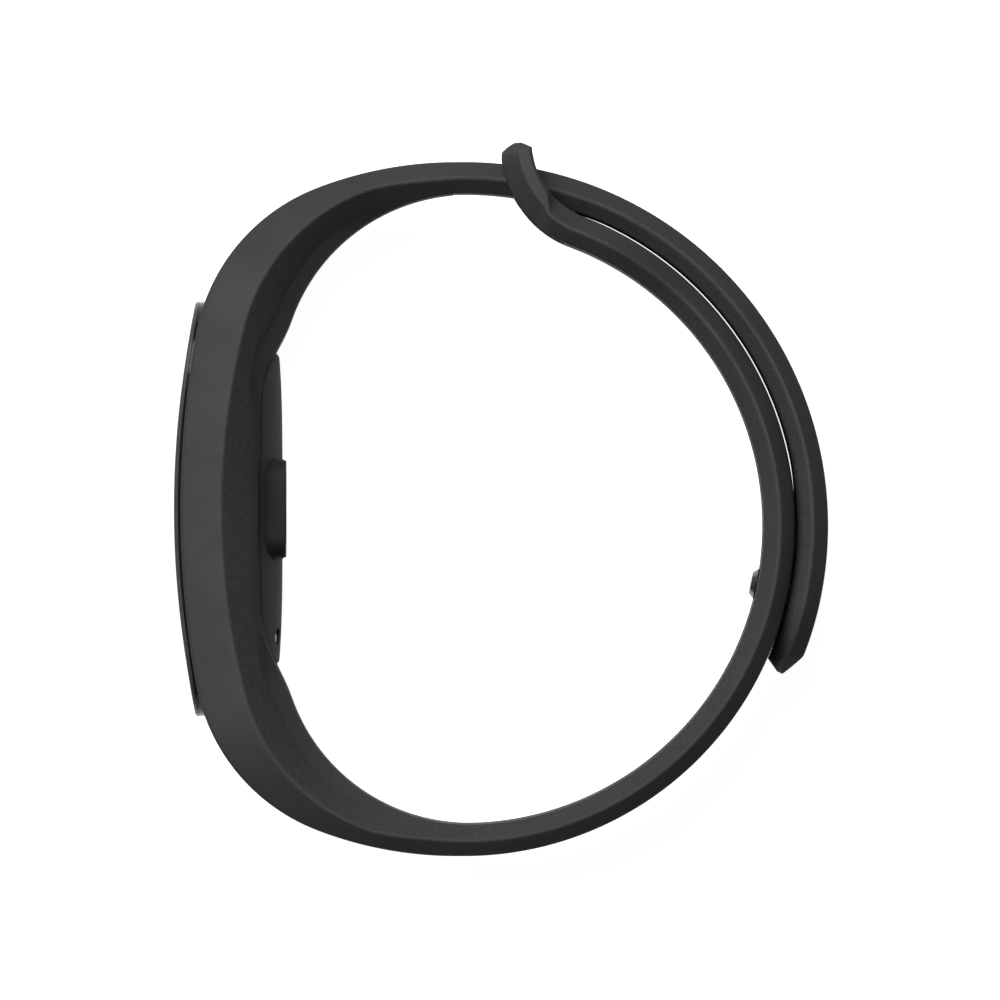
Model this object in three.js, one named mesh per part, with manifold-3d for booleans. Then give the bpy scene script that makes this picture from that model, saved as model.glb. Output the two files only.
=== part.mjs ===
// A fitness tracker on its wrist band, closed as it is worn and lying on its side.
// Millimetres. X runs across the wrist from the display side to the clasp side, Y along the wrist's height
// and Z along the ring's axis. The band is drawn about the middle of its width and moved onto Z = 0 at the end.

import * as THREE from 'three';
import { mergeVertices } from 'three/addons/utils/BufferGeometryUtils.js';
import Module from 'manifold-3d';

const wasm = await Module();
wasm.setup();

// ---- Driving sizes: the ring ------------------------------------------------------------------------------
const ringInnerRadius = 28.48;       // wrist side of the loop arm, on the clasp half
const armThickness = 3.0;
const layerGap = 0.15;               // between the two arms where they lie on each other
const wristSideX = -17.54;           // wrist side of the cradle
const cradleDepth = 9.46;            // from the wrist side to the outer face
const cradleArcRadius = 95;          // slight bow of the cradle's outer face
const crownArcRadius = 36.58;        // outer face where the arms leave the top and the bottom
const outerCornerRadius = 18.4;
const innerCornerRadius = 18.0;
const crownCentreX = -0.84;

// ---- Driving sizes: the strap's section -------------------------------------------------------------------
const cradleWall = 1.85;             // beside the capsule, at the side ridge
const loopArmHalfWidth = 8.0;
const pegArmHalfWidth = 6.8;
const loopRail = 2.5;                // width of each side of the loop
const ridgeFlat = 0.4;               // narrow flat along the side, where two bevels meet
const cradleOuterSlope = 0.12;       // bevel from the ridge to the outer face, width lost per depth
const armOuterSlope = 0.9;
const cradleInnerSlope = 0.68;       // bevel from the ridge towards the wrist
const armInnerSlope = 1.0;
const rimSlope = 0.9;                // last steep bevel beside the wrist
const armRimDepth = 0.45;
const cradleRimDepth = 0.7;

// ---- Driving sizes: the clasp -----------------------------------------------------------------------------
const slotClearance = 0.3;
const pegAngle = -11.3;              // degrees about the ring's centre
const holePitch = 9.5;
const holesTowardsLoop = 6;
const holesTowardsCradle = 5;
const holeClearance = 0.4;           // round the peg's head as it passes through
const hingeBeforePeg = 26;           // degrees from the peg back to the place where the tail bends
const hingeClearance = 0.3;
const tailBeyondPeg = 13.76;         // degrees from the peg to the tail's tip
const tailRoundAngle = 12.5;         // stretch over which the tail's end is rounded
const tailWedgeAngle = 3.9;
const loopStartAngle = 69;
const pegNeckRadius = 1.05;
const pegHeadBase = 1.45;
const pegHeadTop = 1.15;
const pegHeadHeight = 0.53;
const pegFlangeRadius = 1.9;
const pegButtonRadius = 2.7;

// ---- Driving sizes: the capsule ---------------------------------------------------------------------------
const lensProud = 0.9;               // how far the lens stands out of the cradle
const lensArcRadius = 90;
const lensThickness = 1.1;
const capsuleHalfLength = 19.8;
const capsuleHalfWidth = 7.85;
const capsuleCorner = 7.0;
const backStepLength = 4.9;          // how much shorter the part that fills the window is, at each end
const backStepWidth = 1.25;
const backDepth = 5.1;
const backCorner = 4.5;
const backProud = 0.14;              // past the cradle's wrist side
const backEdgeDrop = 2.1;            // how much the domed back falls from its middle to its long edges
const shellWall = 0.9;
const capsuleClearance = 0.3;
const padProud = 0.32;               // above the middle of the domed back
const padHalfLength = 4.63;
const padStepWidth = 0.75;
const padCorner = 2.2;
const stackGap = 0.08;               // between flat layers that lie on each other

// ---- Sizes that follow from them --------------------------------------------------------------------------
const loopArmOuter = ringInnerRadius + armThickness;
const pegArmInner = loopArmOuter + layerGap;
const pegArmOuter = pegArmInner + armThickness;
const centreY = -(armThickness + layerGap) / 2;        // keeps the top and the bottom the same distance out
const innerHeight = pegArmInner + centreY;
const outerHeight = innerHeight + armThickness;
const cradleOuterX = wristSideX - cradleDepth;
const hingeAngle = pegAngle + hingeBeforePeg;
const slotHalfWidth = pegArmHalfWidth + slotClearance;
const loopHalfWidth = slotHalfWidth + loopRail;
const holeRadius = pegHeadBase + holeClearance;
const tailTipAngle = pegAngle - tailBeyondPeg;
const pocketHalfWidth = capsuleHalfWidth + capsuleClearance;
const cradleHalfWidth = pocketHalfWidth + cradleWall;
const lensFrontX = cradleOuterX - lensProud;
const backX = wristSideX + backProud;
const capsuleShoulderX = backX - backDepth;  // where the wide upper part steps in
const backHalfLength = capsuleHalfLength - backStepLength;
const backHalfWidth = capsuleHalfWidth - backStepWidth;
const padFaceX = backX + padProud;
const padHalfWidth = backHalfWidth - padStepWidth;
const windowSink = 2.0;              // the cradle's wrist side is lower beside the capsule's domed back
const ridgeDepth = 3.75;             // from the cradle's outer face to the ridge along its side
const ridgeArcRadius = 70;
const ridgeCornerRadius = 18.75;
const degrees = THREE.MathUtils.degToRad;

const cradleArc = { x: cradleOuterX + cradleArcRadius, y: 0, r: cradleArcRadius };
const crownArc = { x: crownCentreX, y: outerHeight - crownArcRadius, r: crownArcRadius };
const innerArc = { x: wristSideX + innerCornerRadius, y: innerHeight - innerCornerRadius, r: innerCornerRadius };
const cornerArc = { ...cornerCentre(), r: outerCornerRadius };
const crownJoinY = joinHeight(crownArc, cornerArc);
const cradleJoinY = joinHeight(cradleArc, cornerArc);
const ridgeArc = { x: cradleOuterX + ridgeDepth + ridgeArcRadius, y: 0, r: ridgeArcRadius };
const ridgeCorner = ridgeCornerArc();
const ridgeJoinY = joinHeight(ridgeArc, ridgeCorner);

// Centre of the corner arc that touches the cradle arc and the crown arc from inside.
function cornerCentre() {
  const a = cradleArc.r - outerCornerRadius;
  const b = crownArc.r - outerCornerRadius;
  const dx = crownArc.x - cradleArc.x;
  const dy = crownArc.y - cradleArc.y;
  const apart = Math.hypot(dx, dy);
  const along = (a * a - b * b + apart * apart) / (2 * apart);
  const aside = Math.sqrt(a * a - along * along);
  return {
    x: cradleArc.x + (along * dx + aside * dy) / apart,
    y: cradleArc.y + (along * dy - aside * dx) / apart,
  };
}

// Corner arc of the ridge: it touches the ridge's middle arc and levels off halfway through the arms.
function ridgeCornerArc() {
  const y = (innerHeight + outerHeight) / 2 - ridgeCornerRadius;
  const reachBack = Math.sqrt((ridgeArcRadius - ridgeCornerRadius) ** 2 - y * y);
  return { x: ridgeArc.x - reachBack, y, r: ridgeCornerRadius };
}

// Height at which a big arc hands over to the corner arc that touches it.
function joinHeight(big, corner) {
  const angle = Math.atan2(corner.y - big.y, corner.x - big.x);
  return big.y + big.r * Math.sin(angle);
}

// ---- Small helpers ----------------------------------------------------------------------------------------
function smooth(t) {
  const u = Math.min(1, Math.max(0, t));
  return u * u * (3 - 2 * u);
}

function mix(a, b, t) {
  return a + (b - a) * t;
}

function evenly(from, to, count) {
  return Array.from({ length: count + 1 }, (_, i) => mix(from, to, i / count));
}

function polar(radius, angle, z = 0) {
  return new THREE.Vector3(
    radius * Math.cos(degrees(angle)),
    centreY + radius * Math.sin(degrees(angle)),
    z,
  );
}

function solid(geometry) {
  const bare = geometry.clone();
  bare.deleteAttribute('normal');
  bare.deleteAttribute('uv');
  const merged = mergeVertices(bare, 1e-4);
  return new wasm.Manifold(new wasm.Mesh({
    numProp: 3,
    vertProperties: new Float32Array(merged.attributes.position.array),
    triVerts: new Uint32Array(merged.index.array),
  }));
}

function geometryOf(manifold) {
  const mesh = manifold.getMesh();
  const geometry = new THREE.BufferGeometry();
  geometry.setAttribute('position', new THREE.BufferAttribute(new Float32Array(mesh.vertProperties), 3));
  geometry.setIndex(new THREE.BufferAttribute(new Uint32Array(mesh.triVerts), 1));
  geometry.computeVertexNormals();
  return geometry;
}

// A closed skin over a row of rings with the same number of points, with flat ends.
function loft(rings) {
  const size = rings[0].length;
  const points = rings.flat();
  const triangles = [];
  for (let i = 0; i < rings.length - 1; i += 1) {
    for (let j = 0; j < size; j += 1) {
      const a = i * size + j;
      const b = i * size + (j + 1) % size;
      triangles.push(a, b, b + size, a, b + size, a + size);
    }
  }
  const last = (rings.length - 1) * size;
  for (let j = 1; j < size - 1; j += 1) {
    triangles.push(0, j + 1, j);
    triangles.push(last, last + j, last + j + 1);
  }
  let volume = 0;
  for (let i = 0; i < triangles.length; i += 3) {
    const [a, b, c] = [points[triangles[i]], points[triangles[i + 1]], points[triangles[i + 2]]];
    volume += a.dot(b.clone().cross(c));
  }
  if (volume < 0) triangles.reverse();
  const geometry = new THREE.BufferGeometry().setFromPoints(points);
  geometry.setIndex(triangles);
  geometry.computeVertexNormals();
  return geometry;
}

function block(x0, x1, y0, y1, z0, z1) {
  const geometry = new THREE.BoxGeometry(x1 - x0, y1 - y0, z1 - z0);
  return geometry.translate((x0 + x1) / 2, (y0 + y1) / 2, (z0 + z1) / 2);
}

function roundedPlan(halfLength, halfWidth, corner) {
  const r = Math.min(corner, halfLength, halfWidth);
  const shape = new THREE.Shape();
  shape.absarc(halfLength - r, halfWidth - r, r, 0, Math.PI / 2);
  shape.absarc(r - halfLength, halfWidth - r, r, Math.PI / 2, Math.PI);
  shape.absarc(r - halfLength, r - halfWidth, r, Math.PI, 1.5 * Math.PI);
  shape.absarc(halfLength - r, r - halfWidth, r, 1.5 * Math.PI, 2 * Math.PI);
  shape.closePath();
  return shape;
}

// A plan drawn in Y and Z, drawn out along X.
function prism(plan, x0, x1, curveSegments = 7) {
  const geometry = new THREE.ExtrudeGeometry(plan, { depth: x1 - x0, bevelEnabled: false, curveSegments });
  const turn = new THREE.Matrix4().makeBasis(
    new THREE.Vector3(0, 1, 0),
    new THREE.Vector3(0, 0, 1),
    new THREE.Vector3(1, 0, 0),
  );
  return geometry.applyMatrix4(turn).translate(x0, 0, 0);
}

// An outline drawn in X and Y, drawn out to both sides of the middle of the width.
function sideExtrusion(points, halfWidth) {
  const shape = new THREE.Shape(points.map((p) => new THREE.Vector2(p.x, p.y)));
  const geometry = new THREE.ExtrudeGeometry(shape, { depth: 2 * halfWidth, bevelEnabled: false });
  return geometry.translate(0, 0, -halfWidth);
}

// A layer between two arcs about the lens's centre of curvature, wide enough to be cut by any plan.
function lensLayer(outerRadius, innerRadius) {
  const centre = lensFrontX + lensArcRadius;
  const reach = 1.08 * capsuleHalfLength;
  const arc = (radius, from, to) => evenly(from, to, 16).map((y) => (
    new THREE.Vector2(centre - Math.sqrt(radius * radius - y * y), y)));
  return sideExtrusion([...arc(outerRadius, reach, -reach), ...arc(innerRadius, -reach, reach)],
    capsuleHalfWidth + 1);
}

// Everything on the wrist side of a lens-shaped surface.
function belowLens(radius, depth) {
  return lensLayer(radius, radius - depth);
}

// ---- The strap --------------------------------------------------------------------------------------------
function reach(angle, arc, side) {
  const ux = Math.cos(degrees(angle));
  const uy = Math.sin(degrees(angle));
  const dx = -arc.x;
  const dy = centreY - side * arc.y;
  const b = -(dx * ux + dy * uy);
  return b + Math.sqrt(b * b - (dx * dx + dy * dy - arc.r * arc.r));
}

function heightAt(angle, radius) {
  return centreY + radius * Math.sin(degrees(angle));
}

// Outer and inner radius of the strap at an angle that runs from the hinge (over the top, the cradle and the
// bottom) to the loop, so it passes 360 degrees.
function strapRadii(angle) {
  if (angle <= 90) return { inner: pegArmInner, outer: pegArmOuter };
  if (angle >= 270) return { inner: ringInnerRadius, outer: loopArmOuter };
  let outer = reach(angle, cradleArc, 1);
  const side = Math.sign(heightAt(angle, outer)) || 1;
  if (Math.abs(heightAt(angle, outer)) > cradleJoinY) outer = reach(angle, cornerArc, side);
  if (Math.abs(heightAt(angle, outer)) > crownJoinY) outer = reach(angle, crownArc, side);
  let inner = wristSideX / Math.cos(degrees(angle));
  if (Math.abs(heightAt(angle, inner)) > innerArc.y) inner = reach(angle, innerArc, side);
  const besideWindow = smooth((backHalfLength + 3.1 - Math.abs(heightAt(angle, inner))) / 10);
  inner -= windowSink * besideWindow / Math.cos(degrees(angle));
  return { inner, outer, ridge: strapRidge(angle, inner, outer) };
}

// Radius of the ridge along the strap's side; on the arms it runs halfway between the faces.
function strapRidge(angle, inner, outer) {
  const halfway = mix(inner, outer, 0.5);
  let ridge = reach(angle, ridgeArc, 1);
  const side = Math.sign(heightAt(angle, ridge)) || 1;
  if (Math.abs(heightAt(angle, ridge)) > ridgeJoinY) ridge = reach(angle, ridgeCorner, side);
  ridge = mix(ridge, halfway, smooth((Math.abs(180 - angle) - 72) / 16));
  return THREE.MathUtils.clamp(ridge, mix(inner, outer, 0.25), mix(inner, outer, 0.75));
}

function strapHalfWidth(angle) {
  if (angle < 180) return mix(pegArmHalfWidth, cradleHalfWidth, smooth((angle - 96) / 48));
  if (angle < 300) return mix(loopArmHalfWidth, cradleHalfWidth, smooth((264 - angle) / 48));
  return mix(loopArmHalfWidth, loopHalfWidth, smooth((angle - 360 - loopStartAngle + 24) / 20));
}

// One section of the strap: outer face, outer bevel, side ridge, inner bevel, rim, wrist face.
function strapSection(angle, halfWidth, { inner, outer, ridge = mix(inner, outer, 0.5) }) {
  const onCradle = smooth((angle - 100) / 40) * smooth((260 - angle) / 40);
  const thick = outer - inner;
  const flat = Math.min(ridgeFlat, 0.15 * thick) / 2;
  const rim = inner + Math.min(mix(armRimDepth, cradleRimDepth, onCradle), 0.2 * thick);
  const outerHalf = halfWidth - mix(armOuterSlope, cradleOuterSlope, onCradle) * (outer - ridge - flat);
  const rimHalf = halfWidth - mix(armInnerSlope, cradleInnerSlope, onCradle) * (ridge - flat - rim);
  const innerHalf = rimHalf - rimSlope * (rim - inner);
  const side = [
    [outer, outerHalf], [ridge + flat, halfWidth], [ridge - flat, halfWidth], [rim, rimHalf], [inner, innerHalf],
  ];
  const mirrored = side.map(([radius, z]) => [radius, -z]).reverse();
  return [...side, ...mirrored].map(([radius, z]) => polar(radius, angle, z));
}

function ringLoft(angles) {
  return loft(angles.map((angle) => strapSection(angle, strapHalfWidth(angle), strapRadii(angle))));
}

// The frame that the peg arm passes through: side outline about the ring's centre as [radius, angle].
function loopFrame() {
  const outline = [
    [ringInnerRadius, loopStartAngle - 4],
    [ringInnerRadius, loopStartAngle + 0.5],
    [ringInnerRadius + 1.2, loopStartAngle + 6.5],
    [loopArmOuter, loopStartAngle + 12.3],
    [pegArmOuter + 0.7, loopStartAngle + 15.3],
    [pegArmOuter + 1.45, loopStartAngle + 14.7],
    [pegArmOuter + 2.26, loopStartAngle + 13],
    [pegArmOuter + 1.85, loopStartAngle + 10.8],
    [pegArmOuter + 0.03, loopStartAngle + 9.6],
    [pegArmInner + 1.9, loopStartAngle + 8.2],
    [pegArmInner + 0.65, loopStartAngle + 5.5],
    [loopArmOuter + 0.1, loopStartAngle + 1.8],
    [loopArmOuter, loopStartAngle - 4],
  ].map(([radius, angle]) => polar(radius, angle));
  const frame = solid(sideExtrusion(outline, loopHalfWidth));
  const low = evenly(loopStartAngle, loopStartAngle + 20, 4).map((angle) => polar(ringInnerRadius - 2, angle));
  const high = evenly(loopStartAngle + 20, loopStartAngle, 4)
    .map((angle) => polar(pegArmOuter + slotClearance, angle));
  return frame.subtract(solid(sideExtrusion([...low, ...high], slotHalfWidth)));
}

// A round bar that points out from the ring's centre.
function radialBar(radius, from, to, angle, sides = 10) {
  const bar = new THREE.CylinderGeometry(radius, radius, to - from, sides);
  bar.rotateZ(-Math.PI / 2).translate((from + to) / 2, 0, 0);
  return bar.rotateZ(degrees(angle)).translate(0, centreY, 0);
}

// A revolved piece that points out from the ring's centre, profile as [radius about the axis, distance out].
function radialTurned(profile, angle, sides = 20) {
  const turned = new THREE.LatheGeometry(profile.map(([r, d]) => new THREE.Vector2(r, d)), sides);
  return turned.rotateZ(-Math.PI / 2).rotateZ(degrees(angle)).translate(0, centreY, 0);
}

function hingeBar(radius) {
  const bar = new THREE.CylinderGeometry(radius, radius, 4 * pegArmHalfWidth, 20);
  const place = polar((pegArmInner + pegArmOuter) / 2, hingeAngle);
  return bar.rotateX(Math.PI / 2).translate(place.x, place.y, 0);
}

function capsulePocket() {
  const upper = roundedPlan(capsuleHalfLength + capsuleClearance, pocketHalfWidth,
    capsuleCorner + capsuleClearance);
  const lower = roundedPlan(backHalfLength + capsuleClearance, backHalfWidth + capsuleClearance,
    backCorner + capsuleClearance);
  return solid(prism(upper, cradleOuterX - 3, capsuleShoulderX + capsuleClearance))
    .add(solid(prism(lower, cradleOuterX - 3, wristSideX + 3)));
}

function strapBody() {
  const ring = ringLoft([
    ...evenly(hingeAngle, 90, 12), ...evenly(96, 270, 29), ...evenly(276, 360, 14),
    ...evenly(366, 360 + loopStartAngle, 11),
  ]);
  const knuckle = solid(loft([hingeAngle - 4, hingeAngle + 2].map((angle) => (
    strapSection(angle, pegArmHalfWidth, strapRadii(angle))))));
  const rounded = knuckle.intersect(solid(hingeBar(armThickness / 2 - 0.02)));
  let body = solid(ring).add(rounded).add(loopFrame()).subtract(capsulePocket());
  for (let i = -holesTowardsCradle; i <= holesTowardsLoop; i += 1) {
    const hole = radialBar(holeRadius, ringInnerRadius - 1, loopArmOuter + layerGap / 2, pegAngle + i * holePitch);
    body = body.subtract(solid(hole));
  }
  return geometryOf(body);
}

function strapTail() {
  const roundStart = tailTipAngle + tailRoundAngle;
  const angles = [...evenly(hingeAngle, roundStart, 6), ...evenly(roundStart - 2.5, tailTipAngle, 6)];
  const rings = angles.map((angle) => {
    const pastRound = Math.max(0, (roundStart - angle) / (roundStart - tailTipAngle));
    const wedge = smooth((tailTipAngle + tailWedgeAngle - angle) / tailWedgeAngle);
    const halfWidth = pegArmHalfWidth * Math.sqrt(1 - (0.97 * pastRound) ** 2);
    const radii = {
      inner: pegArmInner + 0.42 * armThickness * wedge,
      outer: pegArmOuter - 0.4 * armThickness * wedge,
    };
    return strapSection(angle, halfWidth, radii);
  });
  const { flangeTop, seat } = pegLevels();
  const flangeRoom = radialBar(pegFlangeRadius + hingeClearance, pegArmInner - 1, flangeTop + 0.3, pegAngle, 16);
  const neckRoom = radialBar(pegNeckRadius + hingeClearance, pegArmInner - 1, pegArmOuter + 1, pegAngle, 16);
  const buttonRoom = radialBar(pegButtonRadius + 0.3, seat, pegArmOuter + 1, pegAngle, 20);
  return geometryOf(solid(loft(rings))
    .subtract(solid(hingeBar(armThickness / 2 + hingeClearance - 0.02)))
    .subtract(solid(flangeRoom)).subtract(solid(neckRoom)).subtract(solid(buttonRoom)));
}

// ---- The peg ----------------------------------------------------------------------------------------------
function pegLevels() {
  const headTop = ringInnerRadius - 0.1 - pegHeadHeight;
  const flangeBottom = pegArmInner + 0.1;
  const flangeTop = flangeBottom + 0.5;
  const seat = pegArmOuter - 1.7;
  return { headTop, flangeBottom, flangeTop, seat };
}

function pegStud() {
  const { headTop, flangeBottom, flangeTop, seat } = pegLevels();
  return radialTurned([
    [0, headTop], [pegHeadTop, headTop], [pegHeadBase, ringInnerRadius - 0.1],
    [pegNeckRadius, ringInnerRadius], [pegNeckRadius, flangeBottom],
    [pegFlangeRadius, flangeBottom], [pegFlangeRadius, flangeTop],
    [pegNeckRadius, flangeTop], [pegNeckRadius, seat + 0.5], [0, seat + 0.5],
  ], pegAngle);
}

function pegWasher() {
  const { seat } = pegLevels();
  const [inner, outer, low, high] = [pegNeckRadius + 0.3, pegButtonRadius, seat + 0.1, seat + 0.5];
  return radialTurned([[inner, low], [outer, low], [outer, high], [inner, high], [inner, low]], pegAngle);
}

function pegButton() {
  const { seat } = pegLevels();
  const bottom = seat + 0.6;
  const top = pegArmOuter - 0.05;
  return radialTurned([
    [0, bottom], [pegButtonRadius, bottom], [pegButtonRadius, top - 0.25], [pegButtonRadius - 0.25, top], [0, top],
  ], pegAngle);
}

// ---- The capsule: glass, shell and pad --------------------------------------------------------------------
function insetPlan(inset) {
  return roundedPlan(capsuleHalfLength - inset, capsuleHalfWidth - inset, capsuleCorner - inset);
}

function backPlan(inset) {
  return roundedPlan(backHalfLength - inset, backHalfWidth - inset, Math.max(0.5, backCorner - inset));
}

function padPlan(inset) {
  return roundedPlan(padHalfLength - inset, padHalfWidth - inset, Math.max(0.3, padCorner - inset));
}

const lensInner = lensArcRadius - lensThickness;
const adhesiveThickness = 0.25;
const shellTopRadius = lensInner - 2 * stackGap - adhesiveThickness;

function frontLens() {
  return geometryOf(solid(lensLayer(lensArcRadius, lensInner)).intersect(solid(prism(insetPlan(0),
    lensFrontX - 1, wristSideX))));
}

function lensRing(outerInset, innerInset, outerRadius, innerRadius) {
  const layer = solid(lensLayer(outerRadius, innerRadius));
  const ring = solid(prism(insetPlan(outerInset), lensFrontX - 1, wristSideX))
    .subtract(solid(prism(insetPlan(innerInset), lensFrontX - 2, wristSideX + 1)));
  return geometryOf(layer.intersect(ring));
}

function touchFilm() {
  const layer = solid(lensLayer(lensInner - stackGap, lensInner - stackGap - 0.2));
  return geometryOf(layer.intersect(solid(prism(insetPlan(1.9), lensFrontX - 1, wristSideX))));
}

// The back's dome, curved across the width; a smaller radius gives the inside of the wall.
function backDome(radius) {
  const full = (backHalfWidth ** 2 + backEdgeDrop ** 2) / (2 * backEdgeDrop);
  const dome = new THREE.CylinderGeometry(full + radius, full + radius, 4 * backHalfLength, 64);
  return solid(dome.translate(backX - full, 0, 0));
}

function backShell() {
  const floorX = capsuleShoulderX - shellWall;
  const upper = solid(prism(insetPlan(0.15), lensFrontX, capsuleShoulderX));
  const lower = solid(prism(backPlan(0), capsuleShoulderX - 0.5, wristSideX + 2)).intersect(backDome(0));
  const topCut = solid(belowLens(shellTopRadius, lensArcRadius / 2));
  const upperRoom = solid(prism(insetPlan(shellWall), lensFrontX - 1, floorX));
  const lowerRoom = solid(prism(backPlan(shellWall), floorX - 1, wristSideX + 2)).intersect(backDome(-shellWall));
  const padRoom = solid(prism(padPlan(-0.15), floorX, wristSideX + 2));
  let shell = upper.add(lower).intersect(topCut).subtract(upperRoom).subtract(lowerRoom).subtract(padRoom);
  for (const side of [-1, 1]) {
    const room = new THREE.CylinderGeometry(contactRadius + 0.15, contactRadius + 0.15, 4, 16);
    shell = shell.subtract(solid(room.rotateZ(Math.PI / 2).translate(backX - 1, contactY, side * contactZ)));
  }
  return geometryOf(shell);
}

const contactRadius = 0.8;
const contactY = -(backHalfLength - 2.7);
const contactZ = 2.4;

function chargeContact(side) {
  const contact = new THREE.CylinderGeometry(contactRadius, contactRadius, 1.1, 16);
  return contact.rotateZ(Math.PI / 2).translate(backX - 0.95, contactY, side * contactZ);
}

const padInnerX = padFaceX - 2.6;
const padWall = 0.8;

function sensorPad() {
  const pad = solid(prism(padPlan(0), padInnerX, padFaceX));
  return geometryOf(pad.subtract(solid(prism(padPlan(1), padInnerX - 1, padFaceX - padWall))));
}

// ---- The capsule: what it holds ---------------------------------------------------------------------------
const boardThickness = 0.6;
const boardFrontX = capsuleShoulderX - shellWall - 0.7;
const boardBackX = boardFrontX + boardThickness;
const boardEndY = capsuleHalfLength - 3.4;
const boardHalfWidth = backHalfWidth - 1.0;
const sensorRowY = -boardEndY + 1.2;
const chipRowY = sensorRowY + 2.6;
const canWall = 0.2;
const canHalfWidth = 3.3;
const canStartY = chipRowY + 1.8;
const canEndY = canStartY + 6.5;
const displayStartY = canEndY + 1.3;         // the display fills what the chips leave
const displayEndY = capsuleHalfLength - 9.8;
const displayHalfWidth = capsuleHalfWidth - 3.85;
const displayFrontX = boardFrontX - 1.8;
const displayBackX = boardFrontX - 0.65;
const motorRadius = 1.6;
const motorX = boardBackX + 0.15 + motorRadius;
const motorY = backHalfLength - 4;
const motorHalfSpan = backHalfWidth - 1.5;
const motorShaftRadius = 0.3;
const batteryX = boardBackX + 0.5;
const batteryThickness = 2.4;
const batteryStartY = -(backHalfLength - 2.8);
const batteryEndY = motorY - motorRadius - 4.4;
const batteryHalfWidth = backHalfWidth - 1.6;
const sensorBoardThickness = 0.45;
const sensorBoardX = padInnerX - stackGap - sensorBoardThickness;
const flexThickness = 0.12;

function motorTurned(profile, sides = 18) {
  const turned = new THREE.LatheGeometry(profile.map(([r, d]) => new THREE.Vector2(r, d)), sides);
  return turned.rotateX(Math.PI / 2).translate(motorX, motorY, 0);
}

function motorCase() {
  const [low, high, bore] = [-motorHalfSpan + 0.1, motorHalfSpan - 2.7, 2 * motorShaftRadius];
  return motorTurned([
    [0, low], [motorRadius, low], [motorRadius, high], [bore, high], [bore, low + 1.5], [0, low + 1.5],
  ]);
}

function motorShaft() {
  const [low, high] = [-motorHalfSpan + 1.8, motorHalfSpan];
  return motorTurned([[0, low], [motorShaftRadius, low], [motorShaftRadius, high], [0, high]], 12);
}

function motorWeight() {
  const shape = new THREE.Shape();
  const bore = motorShaftRadius + 0.05;
  shape.absarc(0, 0, motorRadius - 0.1, Math.PI, 2 * Math.PI);
  shape.absarc(0, 0, 0.75, 0, Math.PI);
  shape.closePath();
  shape.holes.push(new THREE.Path().absarc(0, 0, bore, 0, 2 * Math.PI, true));
  const weight = new THREE.ExtrudeGeometry(shape, { depth: 2.1, bevelEnabled: false, curveSegments: 10 });
  return weight.translate(motorX, motorY, motorHalfSpan - 2.3);
}

function shieldCan() {
  const [half, t] = [canHalfWidth, canWall];
  const outer = block(boardFrontX - 1.1, boardFrontX - stackGap, canStartY, canEndY, -half, half);
  const room = block(boardFrontX - 1.1 + t, boardFrontX, canStartY + t, canEndY - t, t - half, half - t);
  return geometryOf(solid(outer).subtract(solid(room)));
}

function onBoardFront(y, z, length, width, height) {
  const back = boardFrontX - stackGap;
  return block(back - height, back, y - length / 2, y + length / 2, z - width / 2, z + width / 2);
}

// A flat ribbon, drawn in X and Z, that is `width` wide along Y.
function ribbon(points, y, width) {
  const shape = new THREE.Shape(points.map(([x, z]) => new THREE.Vector2(x, z)));
  const strip = new THREE.ExtrudeGeometry(shape, { depth: width, bevelEnabled: false });
  return strip.rotateX(Math.PI / 2).translate(0, y + width / 2, 0);
}

function sensorFlex() {
  const [front, back, t] = [boardBackX + 0.1, sensorBoardX - 0.1, flexThickness];
  const side = batteryHalfWidth + 0.25;
  const tab = side - 1.6;
  return ribbon([
    [front, tab], [front, side + t], [back, side + t], [back, tab],
    [back - t, tab], [back - t, side], [front + t, side], [front + t, tab],
  ], 0, 3);
}

function displayFlex() {
  const [front, back, t] = [displayBackX - 0.15, boardFrontX - 0.1, flexThickness];
  const bend = displayEndY + 1.2;
  const strip = [
    [front, displayEndY + 0.3], [front, bend], [back, bend], [back, bend - 1.6],
    [back - t, bend - 1.6], [back - t, bend - t], [front + t, bend - t], [front + t, displayEndY + 0.3],
  ];
  return sideExtrusion(strip.map(([x, y]) => ({ x, y })), 2.2);
}

function lightBarrier() {
  const back = padFaceX - padWall - 0.2;
  const outer = block(padInnerX, back, -1.7, 1.7, -1.6, 1.6);
  const room = block(padInnerX - 1, back + 1, -1.3, 1.3, -1.2, 1.2);
  return geometryOf(solid(outer).subtract(solid(room)));
}

function onSensorBoard(y, z, length, width, height) {
  const front = padInnerX + 0.02;
  return block(front, front + height, y - length / 2, y + length / 2, z - width / 2, z + width / 2);
}

// ---- Materials --------------------------------------------------------------------------------------------
function finish(color, roughness, metalness = 0) {
  return new THREE.MeshStandardMaterial({ color, roughness, metalness });
}

const materials = {
  elastomer: finish(0x1c1d1f, 0.75),
  darkSteel: finish(0x55585c, 0.3, 1),
  lensGlass: finish(0x08090a, 0.05),
  adhesive: finish(0x202020, 0.8),
  film: finish(0x4a5660, 0.3),
  screen: finish(0x101418, 0.2),
  carrier: finish(0x33363a, 0.6),
  shell: finish(0x232427, 0.35),
  board: finish(0x14502c, 0.5),
  chip: finish(0x151515, 0.5),
  tin: finish(0xb8bcc0, 0.3, 1),
  flex: finish(0xb06a20, 0.5),
  pouch: finish(0xa9adb2, 0.4, 1),
  gold: finish(0xc9a24a, 0.3, 1),
  led: finish(0x35d46a, 0.3),
  tungsten: finish(0x74777a, 0.4, 1),
};

// ---- The assembly -----------------------------------------------------------------------------------------
const assembly = new THREE.Group();

function piece(name, geometry, material) {
  const mesh = new THREE.Mesh(geometry, material);
  mesh.name = name;
  assembly.add(mesh);
}

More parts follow.
